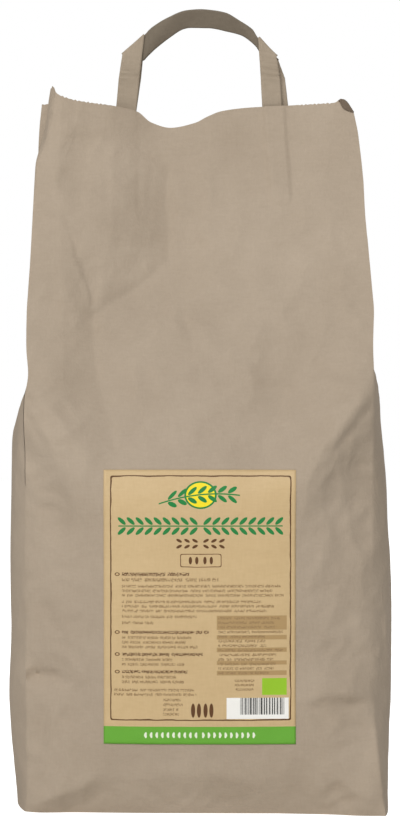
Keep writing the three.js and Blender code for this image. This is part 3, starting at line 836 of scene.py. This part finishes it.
def colour(*rgb):
    """A screen colour from 0 to 255 as the linear colour a shader takes."""
    linear = [(c / 255 / 12.92) if c <= 10 else ((c / 255 + 0.055) / 1.055) ** 2.4 for c in rgb]
    return (*linear, 1.0)


def blend_colours(tree, mask, first, second, mode="MIX"):
    mixed = tree.nodes.new("ShaderNodeMix")
    mixed.data_type = "RGBA"
    mixed.blend_type = mode
    for socket, value in ((mixed.inputs[0], mask), (mixed.inputs[6], first), (mixed.inputs[7], second)):
        if isinstance(value, bpy.types.NodeSocket):
            tree.links.new(value, socket)
        else:
            socket.default_value = value
    return mixed.outputs[2]


def new_group(name, inputs, outputs):
    group = bpy.data.node_groups.new(name, "ShaderNodeTree")
    for label, kind, value in inputs:
        socket = group.interface.new_socket(label, in_out="INPUT", socket_type=kind)
        if value is not None:
            socket.default_value = value
    for label, kind in outputs:
        group.interface.new_socket(label, in_out="OUTPUT", socket_type=kind)
    return group, group.nodes.new("NodeGroupInput").outputs, group.nodes.new("NodeGroupOutput")


def place_group(tree, group, inputs):
    placed = tree.nodes.new("ShaderNodeGroup")
    placed.node_tree = group
    for key, value in inputs.items():
        if isinstance(value, bpy.types.NodeSocket):
            tree.links.new(value, placed.inputs[key])
        else:
            placed.inputs[key].default_value = value
    return placed.outputs


def pulp_group():
    """Kraft pulp: cloudy tone, long fibres, small flecks and the fine crumple of handled paper."""
    group, given, result = new_group(
        "Kraft pulp",
        [("Place", "NodeSocketVector", None), ("Paper", "NodeSocketColor", colour(178, 163, 143)),
         ("Shade", "NodeSocketColor", colour(150, 134, 114)), ("Cloud", "NodeSocketFloat", 0.35),
         ("Fibre", "NodeSocketFloat", 0.3), ("Crumple", "NodeSocketFloat", 1.0)],
        [("Colour", "NodeSocketColor"), ("Height", "NodeSocketFloat")],
    )
    cloud = node(group, "ShaderNodeTexNoise", {"Vector": given["Place"], "Scale": 22.0, "Detail": 5.0})
    stretch = node(group, "ShaderNodeMapping", {"Vector": given["Place"], "Scale": (900.0, 900.0, 160.0)})
    fibre = node(group, "ShaderNodeTexNoise", {"Vector": stretch.outputs[0], "Scale": 1.0, "Detail": 3.0})
    crossed = node(group, "ShaderNodeMapping", {"Vector": given["Place"], "Scale": (170.0, 500.0, 800.0)})
    fibre_across = node(group, "ShaderNodeTexNoise", {
        "Vector": crossed.outputs[0], "Scale": 1.0, "Detail": 3.0,
    })
    fleck = node(group, "ShaderNodeTexNoise", {"Vector": given["Place"], "Scale": 1500.0, "Detail": 1.0})
    dark_fleck = maths(group, "GREATER_THAN", fleck.outputs[0], 0.7)
    both = maths(group, "MULTIPLY", maths(group, "ADD", fibre.outputs[0], fibre_across.outputs[0]), 0.5)
    tone = maths(group, "MULTIPLY", maths(group, "SUBTRACT", cloud.outputs[0], 0.5), given["Cloud"])
    grain = maths(group, "MULTIPLY", maths(group, "SUBTRACT", both, 0.5), given["Fibre"])
    uneven = maths(group, "ADD", maths(group, "MULTIPLY", tone, 2.0), grain)
    shade = maths(group, "ADD", uneven, 0.35, clamp=True)
    flecked = maths(group, "ADD", shade, maths(group, "MULTIPLY", dark_fleck, 0.12), clamp=True)
    shown = blend_colours(group, flecked, given["Paper"], given["Shade"])
    cell = node(group, "ShaderNodeTexVoronoi", {"Vector": given["Place"], "Scale": 55.0}, feature="F1",
                distance="EUCLIDEAN")
    warped = node(group, "ShaderNodeTexNoise", {"Vector": given["Place"], "Scale": 70.0, "Detail": 4.0,
                                                "Distortion": 0.6})
    ridge = maths(group, "ABSOLUTE", maths(group, "SUBTRACT", warped.outputs[0], 0.5))
    crumpled = maths(group, "ADD", maths(group, "MULTIPLY", cell.outputs["Distance"], 0.25),
                     maths(group, "MULTIPLY", ridge, -1.6))
    height = maths(group, "ADD", maths(group, "MULTIPLY", crumpled, given["Crumple"]),
                   maths(group, "MULTIPLY", both, 0.35))
    group.links.new(shown, result.inputs["Colour"])
    group.links.new(height, result.inputs["Height"])
    return group


def finish_material(name, tree_maker):
    material = bpy.data.materials.new(name)
    material.use_nodes = True
    tree = material.node_tree
    tree.nodes.clear()
    output = tree.nodes.new("ShaderNodeOutputMaterial")
    shader = tree.nodes.new("ShaderNodeBsdfPrincipled")
    tree.links.new(shader.outputs[0], output.inputs[0])
    tree_maker(tree, shader)
    return material


def paper_material(name, pulp, paper, shade, cloud=0.35, fibre=0.8, crumpled=1.0, bump=0.8):
    def build(tree, shader):
        place = node(tree, "ShaderNodeTexCoord").outputs["Object"]
        out = place_group(tree, pulp, {"Place": place, "Paper": paper, "Shade": shade, "Cloud": cloud,
                                       "Fibre": fibre, "Crumple": crumpled})
        relief = node(tree, "ShaderNodeBump", {
            "Height": out["Height"], "Strength": bump, "Distance": 0.0006,
        })
        tree.links.new(out["Colour"], shader.inputs["Base Color"])
        tree.links.new(relief.outputs[0], shader.inputs["Normal"])
        shader.inputs["Roughness"].default_value = 0.82
        shader.inputs["Specular IOR Level"].default_value = 0.25

    return finish_material(name, build)


def inside(tree, value, low, high):
    """A mask of the stretch of value from low to high."""
    middle = maths(tree, "MULTIPLY", maths(tree, "ADD", low, high), 0.5)
    half = maths(tree, "MULTIPLY", maths(tree, "SUBTRACT", high, low), 0.5)
    return maths(tree, "LESS_THAN", maths(tree, "ABSOLUTE", maths(tree, "SUBTRACT", value, middle)), half)


def line_noise(tree, at, threshold):
    waves = node(tree, "ShaderNodeTexNoise", {"W": at, "Scale": 1.0, "Detail": 0.0}, noise_dimensions="1D")
    return maths(tree, "GREATER_THAN", waves.outputs[0], threshold)


def field_group():
    """A plain printed field: a box in millimetres from the label's lower left corner."""
    group, given, result = new_group(
        "Printed field",
        [(name, "NodeSocketFloat", 0.0) for name in ("Across", "Up", "Left", "Right", "Low", "High")],
        [("Mask", "NodeSocketFloat")],
    )
    wide = inside(group, given["Across"], given["Left"], given["Right"])
    tall = inside(group, given["Up"], given["Low"], given["High"])
    group.links.new(maths(group, "MULTIPLY", wide, tall), result.inputs["Mask"])
    return group


def line_group(field):
    """Rows of small blocks of ink that stand for lines of print and form no letters."""
    group, given, result = new_group(
        "Printed lines",
        [(name, "NodeSocketFloat", 0.0)
         for name in ("Across", "Up", "Left", "Right", "Low", "High", "Rows", "Block", "Gaps", "Ragged")],
        [("Mask", "NodeSocketFloat")],
    )
    box = place_group(group, field, {
        key: given[key] for key in ("Across", "Up", "Left", "Right", "Low", "High")
    })
    part = maths(group, "DIVIDE", maths(group, "SUBTRACT", given["Up"], given["Low"]),
                 maths(group, "SUBTRACT", given["High"], given["Low"]))
    rows = maths(group, "MULTIPLY", part, given["Rows"])
    row = maths(group, "FLOOR", rows)
    seed = maths(group, "ADD", maths(group, "MULTIPLY", row, 17.3),
                 maths(group, "MULTIPLY", given["Low"], 3.7))
    along = maths(group, "ADD", maths(group, "DIVIDE", given["Across"], given["Block"]), seed)
    spot = node(group, "ShaderNodeCombineXYZ", {
        "X": along, "Y": maths(group, "DIVIDE", given["Up"], maths(group, "MULTIPLY", given["Block"], 1.7)),
    })
    ragged = node(group, "ShaderNodeTexNoise", {"Vector": spot.outputs[0], "Scale": 1.0, "Detail": 0.0})
    blocks = maths(group, "GREATER_THAN", ragged.outputs[0], 0.46)
    gaps = line_noise(group, maths(group, "MULTIPLY", along, 0.21), given["Gaps"])
    slow = maths(group, "MULTIPLY", along, 0.6)
    rise = maths(group, "MULTIPLY", line_noise(group, slow, 0.55), 0.1)
    drop = maths(group, "MULTIPLY", line_noise(group, maths(group, "ADD", slow, 40.0), 0.64), 0.12)
    level = maths(group, "SUBTRACT", maths(group, "FRACT", rows), 0.5)
    band = maths(group, "MULTIPLY", maths(group, "LESS_THAN", level, maths(group, "ADD", rise, 0.25)),
                 maths(group, "GREATER_THAN", level, maths(group, "SUBTRACT", -0.25, drop)))
    random = node(group, "ShaderNodeTexWhiteNoise", {"W": seed}, noise_dimensions="1D")
    cut = maths(group, "MULTIPLY", maths(group, "SUBTRACT", given["Right"], given["Left"]),
                maths(group, "MULTIPLY", random.outputs["Value"], given["Ragged"]))
    short = maths(group, "LESS_THAN", given["Across"], maths(group, "SUBTRACT", given["Right"], cut))
    ink = box["Mask"]
    for mask in (blocks, gaps, band, short):
        ink = maths(group, "MULTIPLY", ink, mask)
    group.links.new(ink, result.inputs["Mask"])
    return group


def disc_group():
    """A round or oval printed spot: its fill and its outline."""
    group, given, result = new_group(
        "Printed disc",
        [(name, "NodeSocketFloat", 0.0)
         for name in ("Across", "Up", "Middle", "Height", "Wide", "Tall", "Line")],
        [("Fill", "NodeSocketFloat"), ("Outline", "NodeSocketFloat")],
    )
    wide = maths(group, "DIVIDE", maths(group, "SUBTRACT", given["Across"], given["Middle"]), given["Wide"])
    tall = maths(group, "DIVIDE", maths(group, "SUBTRACT", given["Up"], given["Height"]), given["Tall"])
    reach = maths(group, "SQRT", maths(group, "ADD", maths(group, "MULTIPLY", wide, wide),
                                       maths(group, "MULTIPLY", tall, tall)))
    whole = maths(group, "LESS_THAN", reach, 1.0)
    fill = maths(group, "LESS_THAN", reach, maths(group, "SUBTRACT", 1.0, given["Line"]))
    group.links.new(fill, result.inputs["Fill"])
    group.links.new(maths(group, "SUBTRACT", whole, fill), result.inputs["Outline"])
    return group


def grain_group():
    """Pairs of printed rice grains that lean along a stem. Along is the place on the stem, and Away is the
    distance from it."""
    group, given, result = new_group(
        "Printed grains",
        [(name, "NodeSocketFloat", 0.0)
         for name in ("Along", "Away", "Start", "Stop", "Pitch", "Long", "Thick", "Slant", "Lift")],
        [("Ink", "NodeSocketFloat")],
    )
    from_start = maths(group, "SUBTRACT", given["Along"], given["Start"])
    cell = maths(group, "FRACT", maths(group, "DIVIDE", from_start, given["Pitch"]))
    along = maths(group, "MULTIPLY", maths(group, "SUBTRACT", cell, 0.5), given["Pitch"])
    lifted = maths(group, "SUBTRACT", given["Away"], given["Lift"])
    turn, rise = maths(group, "COSINE", given["Slant"]), maths(group, "SINE", given["Slant"])
    turned_x = maths(group, "ADD", maths(group, "MULTIPLY", along, turn),
                     maths(group, "MULTIPLY", lifted, rise))
    turned_y = maths(group, "SUBTRACT", maths(group, "MULTIPLY", lifted, turn),
                     maths(group, "MULTIPLY", along, rise))
    narrow = maths(group, "DIVIDE", turned_x, given["Long"])
    thick = maths(group, "DIVIDE", turned_y, given["Thick"])
    reach = maths(group, "ADD", maths(group, "MULTIPLY", narrow, narrow),
                  maths(group, "MULTIPLY", thick, thick))
    grain = maths(group, "MULTIPLY", maths(group, "LESS_THAN", reach, 1.0),
                  inside(group, given["Along"], given["Start"], given["Stop"]))
    group.links.new(grain, result.inputs["Ink"])
    return group


def frame_group():
    """A thin uneven line drawn round the label, as with a brush pen."""
    group, given, result = new_group(
        "Drawn frame",
        [(name, "NodeSocketFloat", 0.0)
         for name in ("Across", "Up", "Left", "Right", "Low", "High", "Line")],
        [("Mask", "NodeSocketFloat")],
    )
    outside = []
    for at, low, high in (("Across", "Left", "Right"), ("Up", "Low", "High")):
        middle = maths(group, "MULTIPLY", maths(group, "ADD", given[low], given[high]), 0.5)
        half = maths(group, "MULTIPLY", maths(group, "SUBTRACT", given[high], given[low]), 0.5)
        away = maths(group, "ABSOLUTE", maths(group, "SUBTRACT", given[at], middle))
        outside.append(maths(group, "SUBTRACT", away, half))
    distance = maths(group, "SMOOTH_MAX", outside[0], outside[1], 2.0)
    wander = node(group, "ShaderNodeTexNoise", {
        "Vector": node(group, "ShaderNodeCombineXYZ", {"X": given["Across"], "Y": given["Up"]}).outputs[0],
        "Scale": 0.09, "Detail": 2.0,
    })
    drift = maths(group, "MULTIPLY", maths(group, "SUBTRACT", wander.outputs[0], 0.5), 1.1)
    width = maths(group, "MULTIPLY", given["Line"], maths(group, "ADD", wander.outputs[0], 0.35))
    ink = maths(group, "LESS_THAN", maths(group, "ABSOLUTE", maths(group, "ADD", distance, drift)), width)
    group.links.new(ink, result.inputs["Mask"])
    return group


# The label's paper and inks
LABEL_PAPER = colour(211, 184, 140)
LABEL_SHADE = colour(191, 162, 117)
TABLE_TINT = colour(176, 146, 100)
FINE_INK = colour(150, 122, 84)
BROWN_INK = colour(96, 62, 32)
RING_INK = colour(110, 78, 44)
FRAME_INK = colour(92, 60, 30)
WORD_FRAME_INK = colour(110, 76, 44)
BAR_INK = colour(30, 28, 28)
WHITE_INK = colour(244, 242, 236)
BAND_GREEN = colour(105, 171, 56)
FRESH_GREEN = colour(150, 196, 42)
HEADING_GREEN = colour(34, 128, 62)
SPRIG_GREEN = colour(16, 128, 58)
SUN_YELLOW = colour(246, 224, 32)
PALE_GREEN = colour(232, 240, 214)

# The label's print, in millimetres from its lower left corner. Fields are [left, right, low, high], and the
# lines add the number of rows, the width of a block of ink, the share of gaps and how ragged the rows end.
GREEN_BAND = [-1, LABEL_WIDTH + 1, -1, 10.2]
FRESH_FIELD = [91.9, 106.2, 28.5, 38.2]
WHITE_FIELD = [71.3, 107.3, 14.7, 26.9]
BAR_FIELD = [79.2, 104.9, 17.2, 26.9]
TABLE_FIELD = [65.6, 106.2, 39.9, 74.6]
TABLE_STRIPES = [[66.35, 74.6], [60.7, 63.25], [53.4, 56], [46, 48.4], [39.9, 42.6]]
FRAME_FIELD = [4.15, 108.4, 14.05, 155.4]
WORD_FRAME = [44.6, 68.2, 102.8, 110.2]
BROWN_LINES = [
    [10.6, 49.6, 96.8, 100.2, 1, 0.5, 0.25, 0], [10.6, 61, 63.4, 66.4, 1, 0.5, 0.25, 0],
    [10.6, 57.4, 50.5, 53.5, 1, 0.5, 0.25, 0], [10.6, 48.6, 40.4, 43.4, 1, 0.5, 0.25, 0],
]
FINE_LINES = [
    [10.6, 66.5, 93.6, 97, 1, 0.55, 0.35, 0], [10.6, 106.2, 85, 92.9, 3, 0.5, 0.3, 0.12],
    [10.6, 106.2, 76, 83.9, 3, 0.5, 0.3, 0.25], [10.6, 54, 72.6, 75.3, 1, 0.5, 0.3, 0],
    [10.6, 29, 69, 71.7, 1, 0.5, 0.3, 0], [10.6, 64, 54.9, 63.2, 3, 0.5, 0.3, 0.4],
    [10.6, 52, 44.8, 50.4, 2, 0.5, 0.3, 0.4], [10.6, 54, 34.6, 40.2, 2, 0.5, 0.3, 0.3],
    [6, 54.5, 27.4, 32.6, 2, 0.5, 0.3, 0.05], [34.5, 49, 16, 27, 4, 0.5, 0.2, 0.4],
    [66.4, 105.4, 66.6, 74.4, 3, 0.5, 0.3, 0.2], [66.4, 105.4, 39.9, 66.4, 10, 0.5, 0.3, 0.3],
    [76, 90.6, 30.5, 38, 3, 0.5, 0.2, 0.3],
]

# Ornaments of printed grains, mirrored about an upright middle line: the middle, the height of the stem,
# where the grains start and stop, their pitch, half length, half thickness, slant and distance from the stem.
HEADING_GRAINS = (56.2, 126.5, 1.4, 48.2, 5.2, 3.0, 1.15, 0.75, 2.9)
SMALL_GRAINS = (56.2, 116.3, 0.9, 14.7, 4.6, 1.8, 0.8, 0.5, 1.7)
FRAMED_GRAINS = (56.4, 106.5, 0.5, 7.9, 3.7, 0.95, 2.2, 0.0, 0.0)
WEIGHT_GRAINS = (57.2, 19.6, 0.2, 7.0, 3.4, 1.2, 4.1, 0.0, 0.0)
BAND_GRAINS = (55.7, 5.3, 0.6, 33.1, 3.25, 0.75, 1.75, 0.25, 0.0)
HEADING_STEM = [8.6, 103.8, 126.15, 126.85]

# The small rings before the lines, and the sun: half widths, half heights and the share that is outline
RING_X = 7.9
RING_HEIGHTS = [98.5, 64.9, 52.1, 41.9]
RING = {"Wide": 1.5, "Tall": 1.05, "Line": 0.45}
SUN = {"Middle": 56.2, "Height": 144.4, "Wide": 9.4, "Tall": 8.0, "Line": 0.12}

# Half the thickness of the drawn frames
FRAME_LINE = 0.42
WORD_FRAME_LINE = 0.26

# The sprig across the sun: its stem's middle, height, slope, bend, half thickness and ends, and its grains
SPRIG_X = 56.0
SPRIG_HEIGHT = 144.6
SPRIG_SLOPE = 0.1
SPRIG_BEND = -0.005
SPRIG_HALF_THICK = 0.4
SPRIG_ENDS = (32.0, 79.0)
SPRIG_GRAINS = (37.0, 77.6, 5.8, 3.1, 1.2, 0.64, 2.7)


def label_material(pulp):
    field, disc, grains, drawn = field_group(), disc_group(), grain_group(), frame_group()
    lines = line_group(field)

    def build(tree, shader):
        place = node(tree, "ShaderNodeTexCoord").outputs["Object"]
        out = place_group(tree, pulp, {"Place": place, "Paper": LABEL_PAPER, "Shade": LABEL_SHADE,
                                       "Cloud": 0.25, "Fibre": 0.8, "Crumple": 0.25})
        split = node(tree, "ShaderNodeSeparateXYZ", {"Vector": place}).outputs
        across = maths(tree, "MULTIPLY_ADD", split[0], 1000.0, LABEL_WIDTH / 2 - LABEL_X)
        up = maths(tree, "MULTIPLY_ADD", split[2], 1000.0, -LABEL_LOW)
        spot = {"Across": across, "Up": up}

        def box(left, right, low, high):
            return place_group(tree, field, {
                **spot, "Left": left, "Right": right, "Low": low, "High": high,
            })["Mask"]

        def printed(left, right, low, high, rows, block, gaps, ragged):
            return place_group(tree, lines, {
                **spot, "Left": left, "Right": right, "Low": low, "High": high, "Rows": float(rows),
                "Block": block, "Gaps": gaps, "Ragged": float(ragged),
            })["Mask"]

        def outline(shape, line):
            left, right, low, high = shape
            return place_group(tree, drawn, {**spot, "Left": left, "Right": right, "Low": low, "High": high,
                                             "Line": line})["Mask"]

        def stem_grains(along, away, start, stop, pitch, length, thick, slant, lift):
            return place_group(tree, grains, {
                "Along": along, "Away": away, "Start": start, "Stop": stop, "Pitch": pitch, "Long": length,
                "Thick": thick, "Slant": slant, "Lift": lift,
            })["Ink"]

        def ornament(middle, height, *shape):
            along = maths(tree, "ABSOLUTE", maths(tree, "SUBTRACT", across, middle))
            return stem_grains(along, maths(tree, "ABSOLUTE", maths(tree, "SUBTRACT", up, height)), *shape)

        def ring(height):
            return place_group(tree, disc, {**spot, "Middle": RING_X, "Height": height, **RING})["Outline"]

        def sprig():
            from_middle = maths(tree, "SUBTRACT", across, SPRIG_X)
            bend = maths(tree, "MULTIPLY", maths(tree, "MULTIPLY", from_middle, from_middle), SPRIG_BEND)
            slanted = maths(tree, "MULTIPLY_ADD", from_middle, SPRIG_SLOPE, SPRIG_HEIGHT)
            stem = maths(tree, "ADD", bend, slanted)
            away = maths(tree, "ABSOLUTE", maths(tree, "SUBTRACT", up, stem))
            stalk = maths(tree, "MULTIPLY", maths(tree, "LESS_THAN", away, SPRIG_HALF_THICK),
                          inside(tree, across, *SPRIG_ENDS))
            return together(tree, [stalk, stem_grains(across, away, *SPRIG_GRAINS)])

        stripes = together(tree, [box(*TABLE_FIELD[:2], low, high) for low, high in TABLE_STRIPES])
        rings = together(tree, [ring(height) for height in RING_HEIGHTS])
        sun = place_group(tree, disc, {**spot, **SUN})
        bars = maths(tree, "MULTIPLY", box(*BAR_FIELD),
                     line_noise(tree, maths(tree, "MULTIPLY", across, 1.7), 0.48))
        heading = together(tree, [box(*HEADING_STEM), ornament(*HEADING_GRAINS)])
        brown_grains = [ornament(*shape) for shape in (SMALL_GRAINS, FRAMED_GRAINS, WEIGHT_GRAINS)]
        brown = together(tree, [printed(*block) for block in BROWN_LINES] + brown_grains)
        fine = together(tree, [printed(*block) for block in FINE_LINES])
        layers = [
            (stripes, TABLE_TINT), (box(*GREEN_BAND), BAND_GREEN), (box(*FRESH_FIELD), FRESH_GREEN),
            (box(*WHITE_FIELD), WHITE_INK), (fine, FINE_INK), (brown, BROWN_INK), (rings, RING_INK),
            (heading, HEADING_GREEN), (bars, BAR_INK), (outline(FRAME_FIELD, FRAME_LINE), FRAME_INK),
            (outline(WORD_FRAME, WORD_FRAME_LINE), WORD_FRAME_INK), (sun["Fill"], SUN_YELLOW),
            (sun["Outline"], SPRIG_GREEN), (sprig(), SPRIG_GREEN), (ornament(*BAND_GRAINS), PALE_GREEN),
        ]
        shown = out["Colour"]
        for mask, ink in layers:
            shown = blend_colours(tree, mask, shown, ink)
        relief = node(tree, "ShaderNodeBump", {
            "Height": out["Height"], "Strength": 0.2, "Distance": 0.0003,
        })
        tree.links.new(relief.outputs[0], shader.inputs["Normal"])
        tree.links.new(shown, shader.inputs["Base Color"])
        shader.inputs["Roughness"].default_value = 0.55
        shader.inputs["Specular IOR Level"].default_value = 0.3

    return finish_material("Label print", build)


def floor_material():
    """Pale floor that the camera sees as bright as the backdrop, without lighting the bag from below."""
    def build(tree, shader):
        shader.inputs["Base Color"].default_value = colour(244, 244, 243)
        shader.inputs["Roughness"].default_value = 0.9
        shader.inputs["Emission Color"].default_value = (1, 1, 1, 1)
        glow = maths(tree, "MULTIPLY", node(tree, "ShaderNodeLightPath").outputs["Is Camera Ray"], 0.7)
        tree.links.new(glow, shader.inputs["Emission Strength"])

    return finish_material("Floor white", build)


# The camera stands level before the bag. PIXELS_PER_SLOPE pixels of the picture's long side stand for a slope
# of 1, as in the photo.
CAMERA_HEIGHT = 233.6
CAMERA_DISTANCE = 1315.0
PIXELS_PER_SLOPE = 1250 / 0.58
LONG_SIDE_PIXELS = 825
SENSOR_WIDTH = 36.0


def add_camera():
    data = bpy.data.cameras.new("Camera")
    data.sensor_width = SENSOR_WIDTH
    data.lens = PIXELS_PER_SLOPE * SENSOR_WIDTH / LONG_SIDE_PIXELS
    camera = bpy.data.objects.new("Camera", data)
    camera.location = (0, -CAMERA_DISTANCE * MM, CAMERA_HEIGHT * MM)
    camera.rotation_euler = (np.pi / 2, 0, 0)
    bpy.context.scene.collection.objects.link(camera)
    bpy.context.scene.camera = camera


BAG_MIDDLE = (0, 0, 0.25)


def add_light(name, place, size, power):
    """A square white light that faces the middle of the bag, with its place and size in metres."""
    data = bpy.data.lights.new(name, "AREA")
    data.shape = "SQUARE"
    data.size = size
    data.energy = power
    light = bpy.data.objects.new(name, data)
    light.location = place
    light.rotation_euler = (Vector(BAG_MIDDLE) - Vector(place)).to_track_quat("-Z", "Y").to_euler()
    bpy.context.scene.collection.objects.link(light)


FLOOR_REACH = 6.0
STUDIO_LIGHT = 0.34


def add_stage():
    """The floor, and a white studio round it that the camera sees brighter than it lights the bag."""
    bm = bmesh.new()
    bmesh.ops.create_grid(bm, x_segments=1, y_segments=1, size=FLOOR_REACH)
    mesh = bpy.data.meshes.new("Floor")
    bm.to_mesh(mesh)
    bm.free()
    floor = bpy.data.objects.new("Floor", mesh)
    mesh.materials.append(floor_material())
    bpy.context.scene.collection.objects.link(floor)
    world = bpy.data.worlds.new("Studio")
    world.use_nodes = True
    tree = world.node_tree
    lit = tree.nodes["Background"]
    lit.inputs[1].default_value = STUDIO_LIGHT
    seen = node(tree, "ShaderNodeBackground", {"Strength": 1.0})
    camera_ray = node(tree, "ShaderNodeLightPath").outputs["Is Camera Ray"]
    for background in (lit, seen):
        background.inputs[0].default_value = (1, 1, 1, 1)
    either = node(tree, "ShaderNodeMixShader", {0: camera_ray, 1: lit.outputs[0], 2: seen.outputs[0]})
    tree.links.new(either.outputs[0], tree.nodes["World Output"].inputs[0])
    bpy.context.scene.world = world
    bpy.context.scene.view_settings.view_transform = "Standard"


# The papers, each with its tone and the darker tone of its clouds
KRAFT = colour(180, 164, 145), colour(158, 142, 123)
STRAP_PAPER = colour(170, 155, 136), colour(148, 133, 114)
# The handle reverse tone is partly the strap's reverse side and partly painted shade that darkens the arches
STRAP_REVERSE_AND_SHADE = colour(126, 115, 100), colour(104, 94, 80)
# Painted shade: a dark kraft tone for the folded corner tip, standing for the shade under its fold
KRAFT_PAINTED_SHADE = colour(124, 109, 94), colour(104, 91, 77)

pulp = pulp_group()
kraft = paper_material("Kraft paper", pulp, *KRAFT, cloud=0.5, fibre=0.6)
strap_paper = paper_material("Handle paper", pulp, *STRAP_PAPER, crumpled=0.6)
# Second handle material: the reverse-side tone with painted shade on the arches
strap_reverse_and_shade = paper_material("Handle paper reverse and painted shade", pulp, *STRAP_REVERSE_AND_SHADE, crumpled=0.8)
# The corner tip's material, darkened as painted shade under the fold
shaded_kraft = paper_material("Kraft paper painted shade", pulp, *KRAFT_PAINTED_SHADE)
make_bag(kraft)
make_corner_tip(shaded_kraft)
make_label(label_material(pulp))
for handle_name in HANDLES:
    make_handle(handle_name, (strap_paper, strap_reverse_and_shade))

add_camera()
add_stage()
add_light("Key", (-0.62, -2.2, 1.75), size=1.5, power=48)
add_light("Back", (0.9, 2.2, 1.6), size=1.4, power=22)
